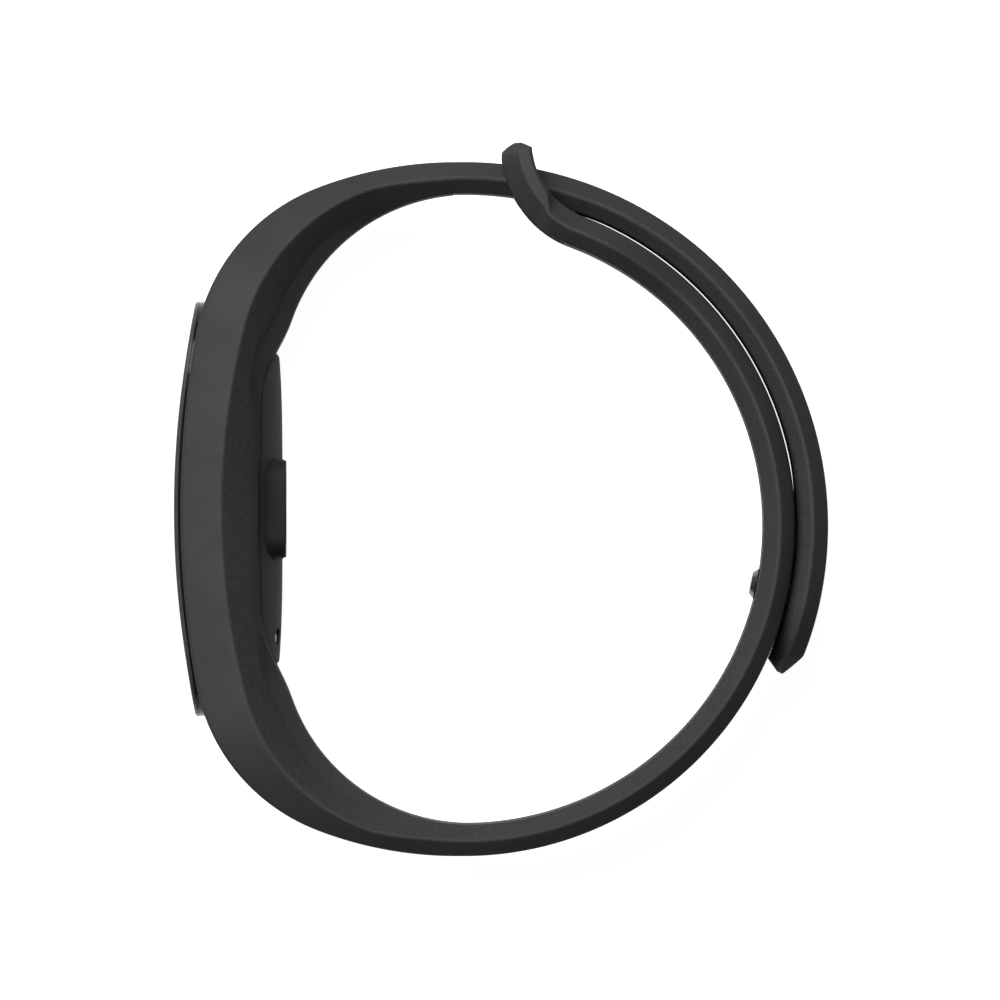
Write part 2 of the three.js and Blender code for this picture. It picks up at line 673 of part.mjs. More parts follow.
piece('strap_body', strapBody(), materials.elastomer);
piece('strap_tail', strapTail(), materials.elastomer);
piece('peg_stud', pegStud(), materials.darkSteel);
piece('peg_washer', pegWasher(), materials.darkSteel);
piece('peg_button', pegButton(), materials.darkSteel);

piece('front_lens', frontLens(), materials.lensGlass);
piece('lens_adhesive', lensRing(0.4, 1.5, lensInner - stackGap, lensInner - stackGap - adhesiveThickness),
  materials.adhesive);
piece('touch_film', touchFilm(), materials.film);
piece('back_shell', backShell(), materials.shell);
piece('sensor_pad', sensorPad(), materials.shell);
piece('charge_contact_left', chargeContact(-1), materials.gold);
piece('charge_contact_right', chargeContact(1), materials.gold);

piece('display_panel', block(displayFrontX, displayBackX, displayStartY, displayEndY,
  -displayHalfWidth, displayHalfWidth), materials.screen);
piece('display_carrier', block(displayBackX + 0.07, displayBackX + 0.3, displayStartY - 0.6, displayEndY + 0.6,
  -displayHalfWidth - 0.6, displayHalfWidth + 0.6), materials.carrier);
piece('display_flex', displayFlex(), materials.flex);
piece('main_board', block(boardFrontX, boardBackX, -boardEndY, displayEndY + 2.6,
  -boardHalfWidth, boardHalfWidth), materials.board);
piece('shield_can', shieldCan(), materials.tin);
piece('processor_chip', onBoardFront(canEndY - 3.2, 0, 5, 5, 0.7), materials.chip);
piece('memory_chip', onBoardFront(chipRowY, -2.4, 2.6, 3, 0.6), materials.chip);
piece('power_chip', onBoardFront(chipRowY, 1.6, 2.2, 2.2, 0.55), materials.chip);
piece('motion_sensor', onBoardFront(sensorRowY, 1.4, 1.6, 2, 0.6), materials.chip);
piece('clock_crystal', onBoardFront(sensorRowY, -1.8, 1.2, 2.4, 0.5), materials.tin);
piece('board_connector', onBoardFront(displayEndY - 2.6, 0, 1.6, 4.4, 0.25), materials.carrier);
piece('antenna_strip', block(boardFrontX - 0.9, boardBackX - 0.1, -displayEndY - 2, displayEndY + 2,
  boardHalfWidth + 0.65, boardHalfWidth + 0.8), materials.gold);
piece('battery_cell', block(batteryX, batteryX + batteryThickness, batteryStartY, batteryEndY,
  -batteryHalfWidth, batteryHalfWidth), materials.pouch);
piece('battery_board', block(batteryX, batteryX + 1.8, batteryEndY + 0.4, batteryEndY + 1,
  -batteryHalfWidth + 0.8, batteryHalfWidth - 0.8), materials.board);
piece('sensor_board', block(sensorBoardX, sensorBoardX + sensorBoardThickness, -4.4, 4.4,
  1.25 - padHalfWidth, padHalfWidth - 1.25), materials.board);
piece('sensor_flex', sensorFlex(), materials.flex);
piece('green_led_left', onSensorBoard(0, 2.65 - padHalfWidth, 1.6, 1.4, 0.6), materials.led);
piece('green_led_right', onSensorBoard(0, padHalfWidth - 2.65, 1.6, 1.4, 0.6), materials.led);
piece('photodiode', onSensorBoard(0, 0, 1.9, 1.7, 0.5), materials.chip);
piece('light_barrier', lightBarrier(), materials.carrier);
piece('motor_case', motorCase(), materials.tin);
piece('motor_shaft', motorShaft(), materials.tin);
piece('motor_weight', motorWeight(), materials.tungsten);

// The band lies on the cradle's side ridge, centred over the origin.
const extent = new THREE.Box3().setFromObject(assembly);
const middle = extent.getCenter(new THREE.Vector3());
assembly.position.set(-middle.x, -middle.y, -extent.min.z);

const group = new THREE.Group();
group.add(assembly);
export default group;
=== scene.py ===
# %% [markdown]
# # A fitness tracker band, closed as it is worn
# The object is a black elastomer band with a capsule pressed into its cradle. One arm of the band ends in a
# loop. The other arm, the peg arm, runs through that loop and snaps into a row of holes with a metal peg.
# The machine model already says where everything is, so this lesson starts from it and only makes the
# surfaces: soft moulded edges, a glossy lens, satin plastic and polished metal.

# %% The frame
import math

import bmesh
import bpy
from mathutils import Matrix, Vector


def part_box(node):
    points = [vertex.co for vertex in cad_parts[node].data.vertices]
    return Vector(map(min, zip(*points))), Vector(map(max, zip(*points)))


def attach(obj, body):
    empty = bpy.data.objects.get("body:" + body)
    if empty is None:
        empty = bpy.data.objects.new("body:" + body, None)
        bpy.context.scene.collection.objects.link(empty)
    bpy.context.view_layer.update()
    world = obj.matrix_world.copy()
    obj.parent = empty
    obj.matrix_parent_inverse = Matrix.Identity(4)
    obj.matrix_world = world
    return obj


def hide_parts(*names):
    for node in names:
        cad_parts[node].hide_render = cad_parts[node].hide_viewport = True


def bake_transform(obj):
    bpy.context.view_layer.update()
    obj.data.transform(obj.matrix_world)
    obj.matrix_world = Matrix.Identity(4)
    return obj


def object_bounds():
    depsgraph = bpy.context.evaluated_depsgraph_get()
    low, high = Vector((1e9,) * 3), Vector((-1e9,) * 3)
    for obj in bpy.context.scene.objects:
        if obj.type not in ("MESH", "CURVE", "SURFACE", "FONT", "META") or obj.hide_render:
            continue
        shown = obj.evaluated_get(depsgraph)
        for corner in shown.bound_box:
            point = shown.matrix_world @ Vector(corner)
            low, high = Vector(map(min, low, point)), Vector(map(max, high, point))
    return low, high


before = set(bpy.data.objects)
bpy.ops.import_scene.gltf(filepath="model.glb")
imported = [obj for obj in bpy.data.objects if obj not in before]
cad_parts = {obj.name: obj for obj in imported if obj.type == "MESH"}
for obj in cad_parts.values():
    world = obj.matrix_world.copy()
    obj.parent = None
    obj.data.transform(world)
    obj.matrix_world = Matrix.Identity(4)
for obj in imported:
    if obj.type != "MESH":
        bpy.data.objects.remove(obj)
cad_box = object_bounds()

# %% [markdown]
# ## Where the ring is
# The clasp half of the band is two layers that share one centre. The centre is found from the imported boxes:
# the tail touches its largest X at the peg arm's outer radius, and the loop arm touches the lowest Y at its
# own outer radius. Everything below is in millimetres until a mesh is made, because a maker thinks of a
# band in millimetres.

# %% Ring sizes and centre
MM = 0.001
ARM_THICKNESS = 3.0
LAYER_GAP = 0.15
LOOP_ARM_INNER = 28.48
LOOP_ARM_OUTER = LOOP_ARM_INNER + ARM_THICKNESS
PEG_ARM_INNER = LOOP_ARM_OUTER + LAYER_GAP
PEG_ARM_OUTER = PEG_ARM_INNER + ARM_THICKNESS


def box_mm(node):
    low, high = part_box(node)
    return low / MM, high / MM


band_low, band_high = box_mm("strap_body")
tail_low, tail_high = box_mm("strap_tail")
lens_low, lens_high = box_mm("front_lens")
pad_low, pad_high = box_mm("sensor_pad")
RING_X = tail_high.x - PEG_ARM_OUTER
RING_Y = band_low.y + LOOP_ARM_OUTER
MIDDLE_Z = (band_low.z + band_high.z) / 2
CAPSULE_Y = (lens_low.y + lens_high.y) / 2
print("ring centre:", round(RING_X, 3), round(RING_Y, 3), "middle of the width:", round(MIDDLE_Z, 3))

# %% [markdown]
# ## Camera
# The band is looked at straight along its ring's axis. A camera close by would show the far rim inside the
# near one. A parallel camera would hide that, but it would also lose all depth in other views. So a long
# lens stands two metres away, which keeps the sides nearly parallel.

# %% Camera
CAMERA_DISTANCE = 2.0
FIELD = 0.0955
HAIR = 0.0001
camera = bpy.data.objects.new("camera", bpy.data.cameras.new("camera"))
bpy.context.scene.collection.objects.link(camera)
bpy.context.scene.camera = camera
box_middle = (cad_box[0] + cad_box[1]) / 2
camera.location = (box_middle.x, box_middle.y - HAIR, box_middle.z + CAMERA_DISTANCE)
camera.data.lens = camera.data.sensor_width * CAMERA_DISTANCE / FIELD
camera.data.clip_end = 10
print("lens in mm:", round(camera.data.lens))

# %% [markdown]
# ## Light and room
# Black rubber shows by the light on its bevels, not by its colour. Small lamps would draw hard shadows into
# the gap between the two arms. One large soft disc, high on the display side, gives each bevel its own grey
# and keeps the gap open, and a faint pale room fills the rest.


# %% Lights and room
def soft_light(name, place, size, power):
    data = bpy.data.lights.new(name, "AREA")
    data.shape = "DISK"
    data.size = size
    data.energy = power
    light = bpy.data.objects.new(name, data)
    light.location = place
    light.rotation_euler = (box_middle - Vector(place)).to_track_quat("-Z", "Y").to_euler()
    bpy.context.scene.collection.objects.link(light)


soft_light("key_light", (-0.31, 0.46, 0.735), size=0.9, power=29.5)
room = bpy.data.worlds.new("pale_room")
bpy.context.scene.world = room
room.use_nodes = True
backdrop = room.node_tree.nodes["Background"]
backdrop.inputs["Color"].default_value = (1, 1, 1, 1)
backdrop.inputs["Strength"].default_value = 0.06
bpy.context.scene.view_settings.view_transform = "Standard"
print("key light and a room at", round(backdrop.inputs["Strength"].default_value, 2))

# %% [markdown]
# ## Materials are made of nodes
# A finish could come from a painted picture, but a picture blurs when the camera comes near. Noise nodes
# keep their real size at any distance. A small helper lays out a Principled shader and lets each recipe add
# its own colour, roughness and bump. Values that are the same all over go straight onto the shader's
# sockets.


# %% A bench for making materials
class Bench:
    """One material's node tree, with short words for the joins that the recipes repeat."""

    def __init__(self, name, **sockets):
        self.material = bpy.data.materials.new(name)
        self.material.use_nodes = True
        self.tree = self.material.node_tree
        self.shader = self.tree.nodes["Principled BSDF"]
        for socket, value in sockets.items():
            self.shader.inputs[socket.replace("_", " ")].default_value = value
        self.place = self.add("ShaderNodeTexCoord").outputs["Object"]

    def add(self, kind, **settings):
        node = self.tree.nodes.new(kind)
        for key, value in settings.items():
            setattr(node, key, value)
        return node

    def join(self, output, socket):
        self.tree.links.new(output, socket)

    def noise(self, size_mm, detail=3.0, stretch=(1, 1, 1)):
        mapping = self.add("ShaderNodeMapping")
        mapping.inputs["Scale"].default_value = stretch
        node = self.add("ShaderNodeTexNoise")
        node.inputs["Scale"].default_value = 1000 / size_mm
        node.inputs["Detail"].default_value = detail
        self.join(self.place, mapping.inputs["Vector"])
        self.join(mapping.outputs["Vector"], node.inputs["Vector"])
        return node.outputs["Fac"]

    def spread(self, value, low, high, from_low=0.3, from_high=0.7):
        node = self.add("ShaderNodeMapRange")
        node.inputs["From Min"].default_value = from_low
        node.inputs["From Max"].default_value = from_high
        node.inputs["To Min"].default_value = low
        node.inputs["To Max"].default_value = high
        self.join(value, node.inputs["Value"])
        return node.outputs["Result"]

    def maths(self, first, second, operation="ADD"):
        node = self.add("ShaderNodeMath", operation=operation)
        for socket, value in zip(node.inputs, (first, second)):
            if isinstance(value, (int, float)):
                socket.default_value = value
            else:
                self.join(value, socket)
        return node.outputs["Value"]

    def mix_colour(self, share, first, second):
        node = self.add("ShaderNodeMix", data_type="RGBA")
        for socket, value in ((node.inputs[0], share), (node.inputs[6], first), (node.inputs[7], second)):
            if isinstance(value, tuple):
                socket.default_value = (*value, 1)
            elif isinstance(value, (int, float)):
                socket.default_value = value
            else:
                self.join(value, socket)
        return node.outputs[2]

    def colour(self, output):
        self.join(output, self.shader.inputs["Base Color"])

    def roughness(self, output):
        self.join(output, self.shader.inputs["Roughness"])

    def bump(self, height, depth_mm, strength=1.0):
        node = self.add("ShaderNodeBump")
        node.inputs["Distance"].default_value = depth_mm * MM
        if isinstance(strength, (int, float)):
            node.inputs["Strength"].default_value = strength
        else:
            self.join(strength, node.inputs["Strength"])
        self.join(height, node.inputs["Height"])
        self.join(node.outputs["Normal"], self.shader.inputs["Normal"])


print("material bench ready")

# %% [markdown]
# ### The band's elastomer
# Moulded silicone-like rubber is not one flat black. The mould's outer faces are finely blasted and even.
# The inner bevel is coarser, so that skin doesn't stick, and it sparkles a little. Handling leaves faint
# lighter clouds. The crest of each side is made glossier, and it is also painted lighter in a patchy
# stripe: a painted highlight. The recipe measures which way a face turns from the ring's centre. Where it
# turns inwards the grain is raised, but not on the wrist face itself, and where it turns neither way it is
# the crest. A mask of the mesh's sharp edges was tried for this painted highlight, and it made blotches
# wherever the mesh is finer.


# %% Elastomer
def elastomer():
    bench = Bench("band_elastomer", Specular_IOR_Level=0.09, IOR=1.45)
    # Which way a face turns: 1 away from the ring's centre, -1 towards it.
    from_centre = bench.add("ShaderNodeVectorMath", operation="SUBTRACT")
    from_centre.inputs[1].default_value = (RING_X * MM, RING_Y * MM, MIDDLE_Z * MM)
    bench.join(bench.place, from_centre.inputs[0])
    flat = bench.add("ShaderNodeVectorMath", operation="MULTIPLY")
    flat.inputs[1].default_value = (1, 1, 0)
    bench.join(from_centre.outputs[0], flat.inputs[0])
    outwards = bench.add("ShaderNodeVectorMath", operation="NORMALIZE")
    bench.join(flat.outputs[0], outwards.inputs[0])
    facing = bench.add("ShaderNodeVectorMath", operation="DOT_PRODUCT")
    normal = bench.add("ShaderNodeTexCoord").outputs["Normal"]
    bench.join(outwards.outputs[0], facing.inputs[0])
    bench.join(normal, facing.inputs[1])
    turn_outwards = facing.outputs["Value"]
    bevel = bench.spread(turn_outwards, 1, 0, -0.45, -0.05)
    inwards = bench.maths(bevel, bench.spread(turn_outwards, 0, 1, -0.9, -0.76), "MULTIPLY")
    clouds = bench.spread(bench.noise(9, 4), 0, 1)
    grain = bench.noise(0.16, 2)
    fine = bench.noise(0.07, 1)
    base = bench.mix_colour(clouds, (0.0142, 0.0142, 0.0143), (0.0161, 0.0161, 0.0162))
    specks = bench.maths(bench.spread(grain, 0, 0.7, 0.5, 0.75), inwards, "MULTIPLY")
    grained = bench.mix_colour(specks, base, (0.032, 0.032, 0.032))
    # Along the crest the colour is painted lighter, a painted highlight, and the roughness is lowered, a
    # polish.
    crest = bench.spread(bench.maths(turn_outwards, 0, "ABSOLUTE"), 1, 0, 0.04, 0.3)
    crest_highlight_and_polish = bench.maths(crest, bench.spread(bench.noise(3, 4), 0.5, 1), "MULTIPLY")
    bench.colour(bench.mix_colour(crest_highlight_and_polish, grained, (0.024, 0.024, 0.024)))
    rough = bench.maths(bench.spread(grain, 0.64, 0.74), bench.maths(inwards, 0.08, "MULTIPLY"), "ADD")
    bench.roughness(bench.maths(rough, bench.maths(crest_highlight_and_polish, 0.2, "MULTIPLY"), "SUBTRACT"))
    height = bench.maths(grain, bench.maths(fine, 0.5, "MULTIPLY"), "ADD")
    bench.bump(height, 0.014, bench.spread(inwards, 0.18, 1.0, 0, 1))
    return bench.material


ELASTOMER = elastomer()
print("made", ELASTOMER.name)

# %% [markdown]
# ## Meshes from rings of points
# A band could be bent from a straight bar with a curve modifier, but then its thickness drifts at the
# corners. So every moulded part here is lofted: rings of points are joined with quads, the ends are capped,
# and the mesh is shaded smooth except where two faces meet at a real edge. Soft edges come from points, not
# from a bevel modifier, so each corner's radius is known.


# %% Mesh helpers
def finish_mesh(mesh, sharp_degrees):
    for polygon in mesh.polygons:
        polygon.use_smooth = True
    mesh.set_sharp_from_angle(angle=math.radians(sharp_degrees))


def piece_from_rings(name, rings, material, sharp_degrees=38, closed=False):
    """Joins rings of points, in millimetres, into a closed mesh in metres."""
    build = bmesh.new()
    rows = [[build.verts.new(Vector(point) * MM) for point in ring] for ring in rings]
    pairs = list(zip(rows, rows[1:] + rows[:1])) if closed else list(zip(rows, rows[1:]))
    for row, next_row in pairs:
        for j, vertex in enumerate(row):
            k = (j + 1) % len(row)
            build.faces.new((vertex, row[k], next_row[k], next_row[j]))
    if not closed:
        build.faces.new(rows[0])
        build.faces.new(rows[-1])
    bmesh.ops.remove_doubles(build, verts=build.verts, dist=2e-7)
    bmesh.ops.recalc_face_normals(build, faces=build.faces)
    mesh = bpy.data.meshes.new(name)
    build.to_mesh(mesh)
    build.free()
    finish_mesh(mesh, sharp_degrees)
    mesh.materials.append(material)
    piece = bpy.data.objects.new(name, mesh)
    bpy.context.scene.collection.objects.link(piece)
    return piece


def cut(piece, cutters, sharp_degrees=38):
    """Takes the cutters out of the piece and removes them."""
    bpy.ops.object.select_all(action="DESELECT")
    for cutter in cutters:
        cutter.select_set(True)
    bpy.context.view_layer.objects.active = cutters[0]
    if len(cutters) > 1:
        bpy.ops.object.join()
    tool = bpy.context.view_layer.objects.active
    modifier = piece.modifiers.new("cut", "BOOLEAN")
    modifier.operation = "DIFFERENCE"
    modifier.solver = "EXACT"
    modifier.object = tool
    evaluated = piece.evaluated_get(bpy.context.evaluated_depsgraph_get())
    cut_mesh = bpy.data.meshes.new_from_object(evaluated)
    piece.modifiers.clear()
    piece.data = cut_mesh
    cut_mesh.name = piece.name
    bpy.data.objects.remove(tool)
    finish_mesh(cut_mesh, sharp_degrees)


def smooth(t):
    u = min(1.0, max(0.0, t))
    return u * u * (3 - 2 * u)


def mix(a, b, t):
    return a + (b - a) * t


def steps(start, end, count):
    return [mix(start, end, i / count) for i in range(count + 1)]


def polar(radius, angle, z=0.0):
    turn = math.radians(angle)
    return Vector((RING_X + radius * math.cos(turn), RING_Y + radius * math.sin(turn), MIDDLE_Z + z))


print("mesh helpers ready")

# %% [markdown]
# ## The band's outline
# The display half isn't round. Its outer side is a long flat bow over the cradle, a tighter corner above
# and below it, and a wide arc that runs into the arms. Each arc touches the next, so the outline has no
# kink. Its inner side is a corner arc on each side and a straight stretch that sinks beside the capsule's
# domed back.

# %% Arcs of the display half
WRIST_X = lens_low.x + 10.36
CRADLE_DEPTH = 9.46
CRADLE_RADIUS = 95.0
CROWN_RADIUS = 36.58
CORNER_RADIUS = 18.4
INNER_RADIUS = 18.0
RIDGE_DEPTH = 3.75
RIDGE_RADIUS = 70.0
RIDGE_CORNER_RADIUS = 18.75
WINDOW_HALF = 14.9
WINDOW_SINK = 2.0
ARM_STAND_OFF = 0.11
HALF_HEIGHT_INSIDE = (LOOP_ARM_INNER + PEG_ARM_INNER) / 2
CRADLE_ARC = (WRIST_X - CRADLE_DEPTH + CRADLE_RADIUS, 0.0, CRADLE_RADIUS)
CROWN_ARC = (WRIST_X + 16.7, HALF_HEIGHT_INSIDE + ARM_THICKNESS - CROWN_RADIUS, CROWN_RADIUS)
INNER_ARC = (WRIST_X + INNER_RADIUS, HALF_HEIGHT_INSIDE - INNER_RADIUS, INNER_RADIUS)


def corner_touching(first, second, radius):
    """The small arc that lies inside two bigger arcs and touches both."""
    a, b = first[2] - radius, second[2] - radius
    dx, dy = second[0] - first[0], second[1] - first[1]
    apart = math.hypot(dx, dy)
    along = (a * a - b * b + apart * apart) / (2 * apart)
    aside = math.sqrt(a * a - along * along)
    return first[0] + (along * dx + aside * dy) / apart, first[1] + (along * dy - aside * dx) / apart, radius


def join_angle(big, corner, side):
    """The direction, seen from the ring's centre, in which a big arc hands over to its corner arc."""
    turn = math.atan2(corner[1] - big[1], corner[0] - big[0])
    x, y = big[0] + big[2] * math.cos(turn), big[1] + big[2] * math.sin(turn)
    return math.degrees(math.atan2(CAPSULE_Y + side * y - RING_Y, x - RING_X)) % 360


CORNER_ARC = corner_touching(CRADLE_ARC, CROWN_ARC, CORNER_RADIUS)
RIDGE_ARC = (WRIST_X - CRADLE_DEPTH + RIDGE_DEPTH + RIDGE_RADIUS, 0.0, RIDGE_RADIUS)
RIDGE_CORNER_Y = HALF_HEIGHT_INSIDE + ARM_THICKNESS / 2 - RIDGE_CORNER_RADIUS
RIDGE_CORNER_X = RIDGE_ARC[0] - math.sqrt((RIDGE_RADIUS - RIDGE_CORNER_RADIUS) ** 2 - RIDGE_CORNER_Y ** 2)
RIDGE_CORNER = (RIDGE_CORNER_X, RIDGE_CORNER_Y, RIDGE_CORNER_RADIUS)


def reach(angle, arc, side):
    """Distance from the ring's centre to an arc, whose height is measured from the capsule's middle."""
    ux, uy = math.cos(math.radians(angle)), math.sin(math.radians(angle))
    dx, dy = RING_X - arc[0], RING_Y - (CAPSULE_Y + side * arc[1])
    b = -(dx * ux + dy * uy)
    return b + math.sqrt(max(0.0, b * b - (dx * dx + dy * dy - arc[2] ** 2)))


def height(angle, radius):
    return RING_Y - CAPSULE_Y + radius * math.sin(math.radians(angle))


def on_bow(angle, middle, corner, crown=None):
    """Distance to an outline made of a middle arc, a corner arc and a crown arc, the same above and below."""
    side = 1 if angle <= 180 else -1
    if side * (angle - join_angle(middle, corner, side)) > 0:
        return reach(angle, middle, side)
    if crown and side * (angle - join_angle(crown, corner, side)) < 0:
        return reach(angle, crown, side)
    return reach(angle, corner, side)


def hollow(angle):
    """The peg arm stands a hair off the loop arm between the loop and the peg."""
    return ARM_STAND_OFF * smooth((72 - angle) / 8) * smooth((angle - 4) / 8)


def band_radii(angle):
    """Inner and outer radius of the band. The angle runs over the top and the cradle to the loop."""
    if angle <= 90:
        return PEG_ARM_INNER + hollow(angle), PEG_ARM_OUTER
    if angle >= 270:
        return LOOP_ARM_INNER, LOOP_ARM_OUTER
    outer = on_bow(angle, CRADLE_ARC, CORNER_ARC, CROWN_ARC)
    inner = (WRIST_X - RING_X) / math.cos(math.radians(angle))
    if abs(height(angle, inner)) > INNER_ARC[1]:
        inner = reach(angle, INNER_ARC, 1 if angle <= 180 else -1)
    sink = WINDOW_SINK * smooth((WINDOW_HALF + 3.1 - abs(height(angle, inner))) / 10)
    return inner - sink / math.cos(math.radians(angle)), outer


def ridge_radius(angle, inner, outer):
    """The ridge along the band's side. On the arms it runs halfway between the faces."""
    if angle <= 90 or angle >= 270:
        return (inner + outer) / 2
    on_arm = smooth((abs(180 - angle) - 72) / 16)
    return mix(on_bow(angle, RIDGE_ARC, RIDGE_CORNER), (inner + outer) / 2, on_arm)


print("corner arc centre:", [round(v, 2) for v in CORNER_ARC[:2]])

# %% [markdown]
# ## The band's section
# Cut across, the band is a flat bar with bevelled sides: outer face, outer bevel, a narrow flat along the
# side, inner bevel, a last steep rim, wrist face. Round the cradle the outer bevel is nearly upright, and
# the band is wider to hold the capsule. A bevel modifier would round all corners alike. Here each corner
# gets its own small round, drawn as a short curve through the corner.

# %% Section of the band
CRADLE_HALF_WIDTH = (band_high.z - band_low.z) / 2
LOOP_ARM_HALF_WIDTH = 8.0
PEG_ARM_HALF_WIDTH = (tail_high.z - tail_low.z) / 2
LOOP_HALF_WIDTH = 9.6
SIDE_FLAT = 0.42
FACE_STEPS = 8
ROUND_STEPS = 4


def rounded(corners, radii):
    """Replaces each corner of a closed outline with a short curve."""
    points = []
    for i, corner in enumerate(corners):
        before, after = Vector(corners[i - 1]), Vector(corners[(i + 1) % len(corners)])
        here = Vector(corner)
        to_before, to_after = before - here, after - here
        start = here + to_before * min(0.45, radii[i] / max(1e-9, to_before.length))
        end = here + to_after * min(0.45, radii[i] / max(1e-9, to_after.length))
        for t in steps(0, 1, ROUND_STEPS):
            points.append(start * (1 - t) ** 2 + here * 2 * t * (1 - t) + end * t * t)
    return points


def face_steps(points, first, last):
    """Even points on the straight run between two neighbours of an outline."""
    return [points[first].lerp(points[last], t) for t in steps(0, 1, FACE_STEPS)][1:-1]


def band_section(inner, outer, half_width, flat_low, flat_high, rim, slope_in, slope_out, slope_rim=0.9):
    """One ring of the band. inner and outer are points in the side view, the rest are depths from inner."""
    across = outer - inner
    thick = across.length
    outer_half = half_width - slope_out * (thick - flat_high)
    rim_half = half_width - slope_in * (flat_low - rim)
    side = [(thick, outer_half), (flat_high, half_width), (flat_low, half_width), (rim, rim_half),
            (0.0, rim_half - slope_rim * rim)]
    radii = [0.30, 0.16, 0.16, 0.35, 0.30]
    soft = min(1.0, thick / 2.4)
    corners = side + [(depth, -z) for depth, z in reversed(side)]
    outline = rounded(corners, [r * soft for r in radii + radii[::-1]])
    half = len(outline) // 2
    outline = (outline[:half] + face_steps(outline, half - 1, half)
               + outline[half:] + face_steps(outline, len(outline) - 1, 0))
    return [inner + across * (depth / thick) + Vector((0, 0, z)) for depth, z in outline]


def band_half_width(angle):
    if angle < 180:
        return mix(PEG_ARM_HALF_WIDTH, CRADLE_HALF_WIDTH, smooth((angle - 96) / 48))
    if angle < 300:
        return mix(LOOP_ARM_HALF_WIDTH, CRADLE_HALF_WIDTH, smooth((264 - angle) / 48))
    return mix(LOOP_ARM_HALF_WIDTH, LOOP_HALF_WIDTH, smooth((angle - 405) / 20))


def ring_section(angle, inner=None, outer=None, half_width=None):
    own_inner, own_outer = band_radii(angle)
    inner = own_inner if inner is None else inner
    outer = own_outer if outer is None else outer
    half_width = band_half_width(angle) if half_width is None else half_width
    on_cradle = smooth((angle - 100) / 40) * smooth((260 - angle) / 40)
    thick = outer - inner
    ridge = ridge_radius(angle, inner, outer) - inner
    flat = min(SIDE_FLAT, 0.15 * thick) / 2
    off_middle = abs(180 - angle)
    shoulder = smooth((off_middle - 26) / 16) * smooth((84 - off_middle) / 24)
    rim = min(mix(0.45, 0.7, on_cradle) + 1.0 * shoulder, 0.3 * thick)
    return band_section(polar(inner, angle), polar(outer, angle), half_width, ridge - flat, ridge + flat, rim,
                        mix(1.0, 0.68, on_cradle), mix(0.9, 0.12, on_cradle), mix(0.9, 2.4, shoulder))


print("points in a section:", len(ring_section(300)))

# %% [markdown]
# ## The loop
# Towards its end the loop arm swings outwards in an S, until it stands across the peg arm. It widens there
# and becomes a frame: two rails and an end bar with a roof-shaped top. A frame of separate bars would show
# its joints. So the arm is lofted on through two edge lines, the wrist edge and the outer edge, and the
# slot is cut out of it.

# %% Edge lines of the loop
LOOP_START = 66.0
WRIST_EDGE = [(28.48, 66.0), (28.52, 71.1), (29.02, 75.0), (29.99, 78.3), (31.61, 81.4), (33.37, 83.25),
              (35.30, 84.3), (36.03, 83.8), (36.70, 82.6)]
OUTER_EDGE = [(31.48, 66.0), (31.56, 70.8), (32.30, 74.5), (33.39, 77.0), (34.72, 78.7), (35.92, 79.6),
              (36.52, 79.9), (36.62, 80.3), (36.84, 81.6)]


def along_edge(edge, t):
    """A smooth curve through an edge line's (radius, angle) pairs; t counts the pairs."""
    i = min(int(t), len(edge) - 2)
    u = t - i
    a, b, c, d = (edge[min(len(edge) - 1, max(0, i + k))] for k in (-1, 0, 1, 2))
    curve = [0.5 * (2 * b[k] + (c[k] - a[k]) * u + (2 * a[k] - 5 * b[k] + 4 * c[k] - d[k]) * u * u
                    + (3 * b[k] - a[k] - 3 * c[k] + d[k]) * u ** 3) for k in (0, 1)]
    return polar(*curve)


def loop_section(t):
    inner, outer = along_edge(WRIST_EDGE, t), along_edge(OUTER_EDGE, t)
    thick = (outer - inner).length
    on_frame = smooth((t - 1.9) / 0.7)
    past_bar = max(0.0, (t - 5.6) / 2.4)
    half_width = LOOP_HALF_WIDTH - 1.6 * (1 - math.sqrt(max(0.0, 1 - past_bar ** 2)))
    low = mix(thick / 2 - SIDE_FLAT / 2, 0.55 * thick, on_frame)
    high = mix(thick / 2 + SIDE_FLAT / 2, 0.93 * thick, on_frame)
    rim = min(0.45, 0.2 * thick)
    return band_section(inner, outer, half_width, low, high, rim, 1.0, 0.9)


print("loop reaches out to radius", max(radius for radius, angle in OUTER_EDGE), "mm")

# %% [markdown]
# ## Rounded plans
# The capsule's lens, shell and pad, and the openings for them, are all rounded rectangles seen from the front.
# Each could be drawn by itself, but then their rings would have different numbers of points and couldn't be
# joined. One function draws them all with the same number of points, and another sets a plan at a depth.


# %% Plans
def plan(half_length, half_width, corner):
    """A rounded rectangle in Y and Z about the capsule's middle, always with the same number of points."""
    corner = max(0.0, min(corner, half_length, half_width))
    y, z = half_length - corner, half_width - corner
    outline = []
    for sy, sz, first, run in ((1, 1, 0, 16), (-1, 1, 90, 8), (-1, -1, 180, 16), (1, -1, 270, 8)):
        arc = [(sy * y + corner * math.cos(math.radians(t)), sz * z + corner * math.sin(math.radians(t)))
               for t in steps(first, first + 90, 10)]
        to = (-sy * y, sz * z + sz * corner) if run == 16 else (sy * y + sy * corner, -sz * z)
        start = arc[-1]
        outline += arc + [(mix(start[0], to[0], t), mix(start[1], to[1], t)) for t in steps(0, 1, run)[1:-1]]
    return outline


def plan_ring(outline, x):
    """Places a plan at a depth. x is a number, or a function of the plan's own y and z."""
    return [Vector((x(y, z) if callable(x) else x, CAPSULE_Y + y, MIDDLE_Z + z)) for y, z in outline]


# %% Sizes of the capsule
CAPSULE_HALF_LENGTH = (lens_high.y - lens_low.y) / 2
CAPSULE_HALF_WIDTH = (lens_high.z - lens_low.z) / 2
CAPSULE_CORNER = 7.0
SHOULDER_X = lens_low.x + 5.4
BACK_HALF_WIDTH = CAPSULE_HALF_WIDTH - 1.25
BACK_CORNER = 4.5
FIT = 0.12
print("capsule in mm:", round(2 * CAPSULE_HALF_LENGTH, 2), "x", round(2 * CAPSULE_HALF_WIDTH, 2))

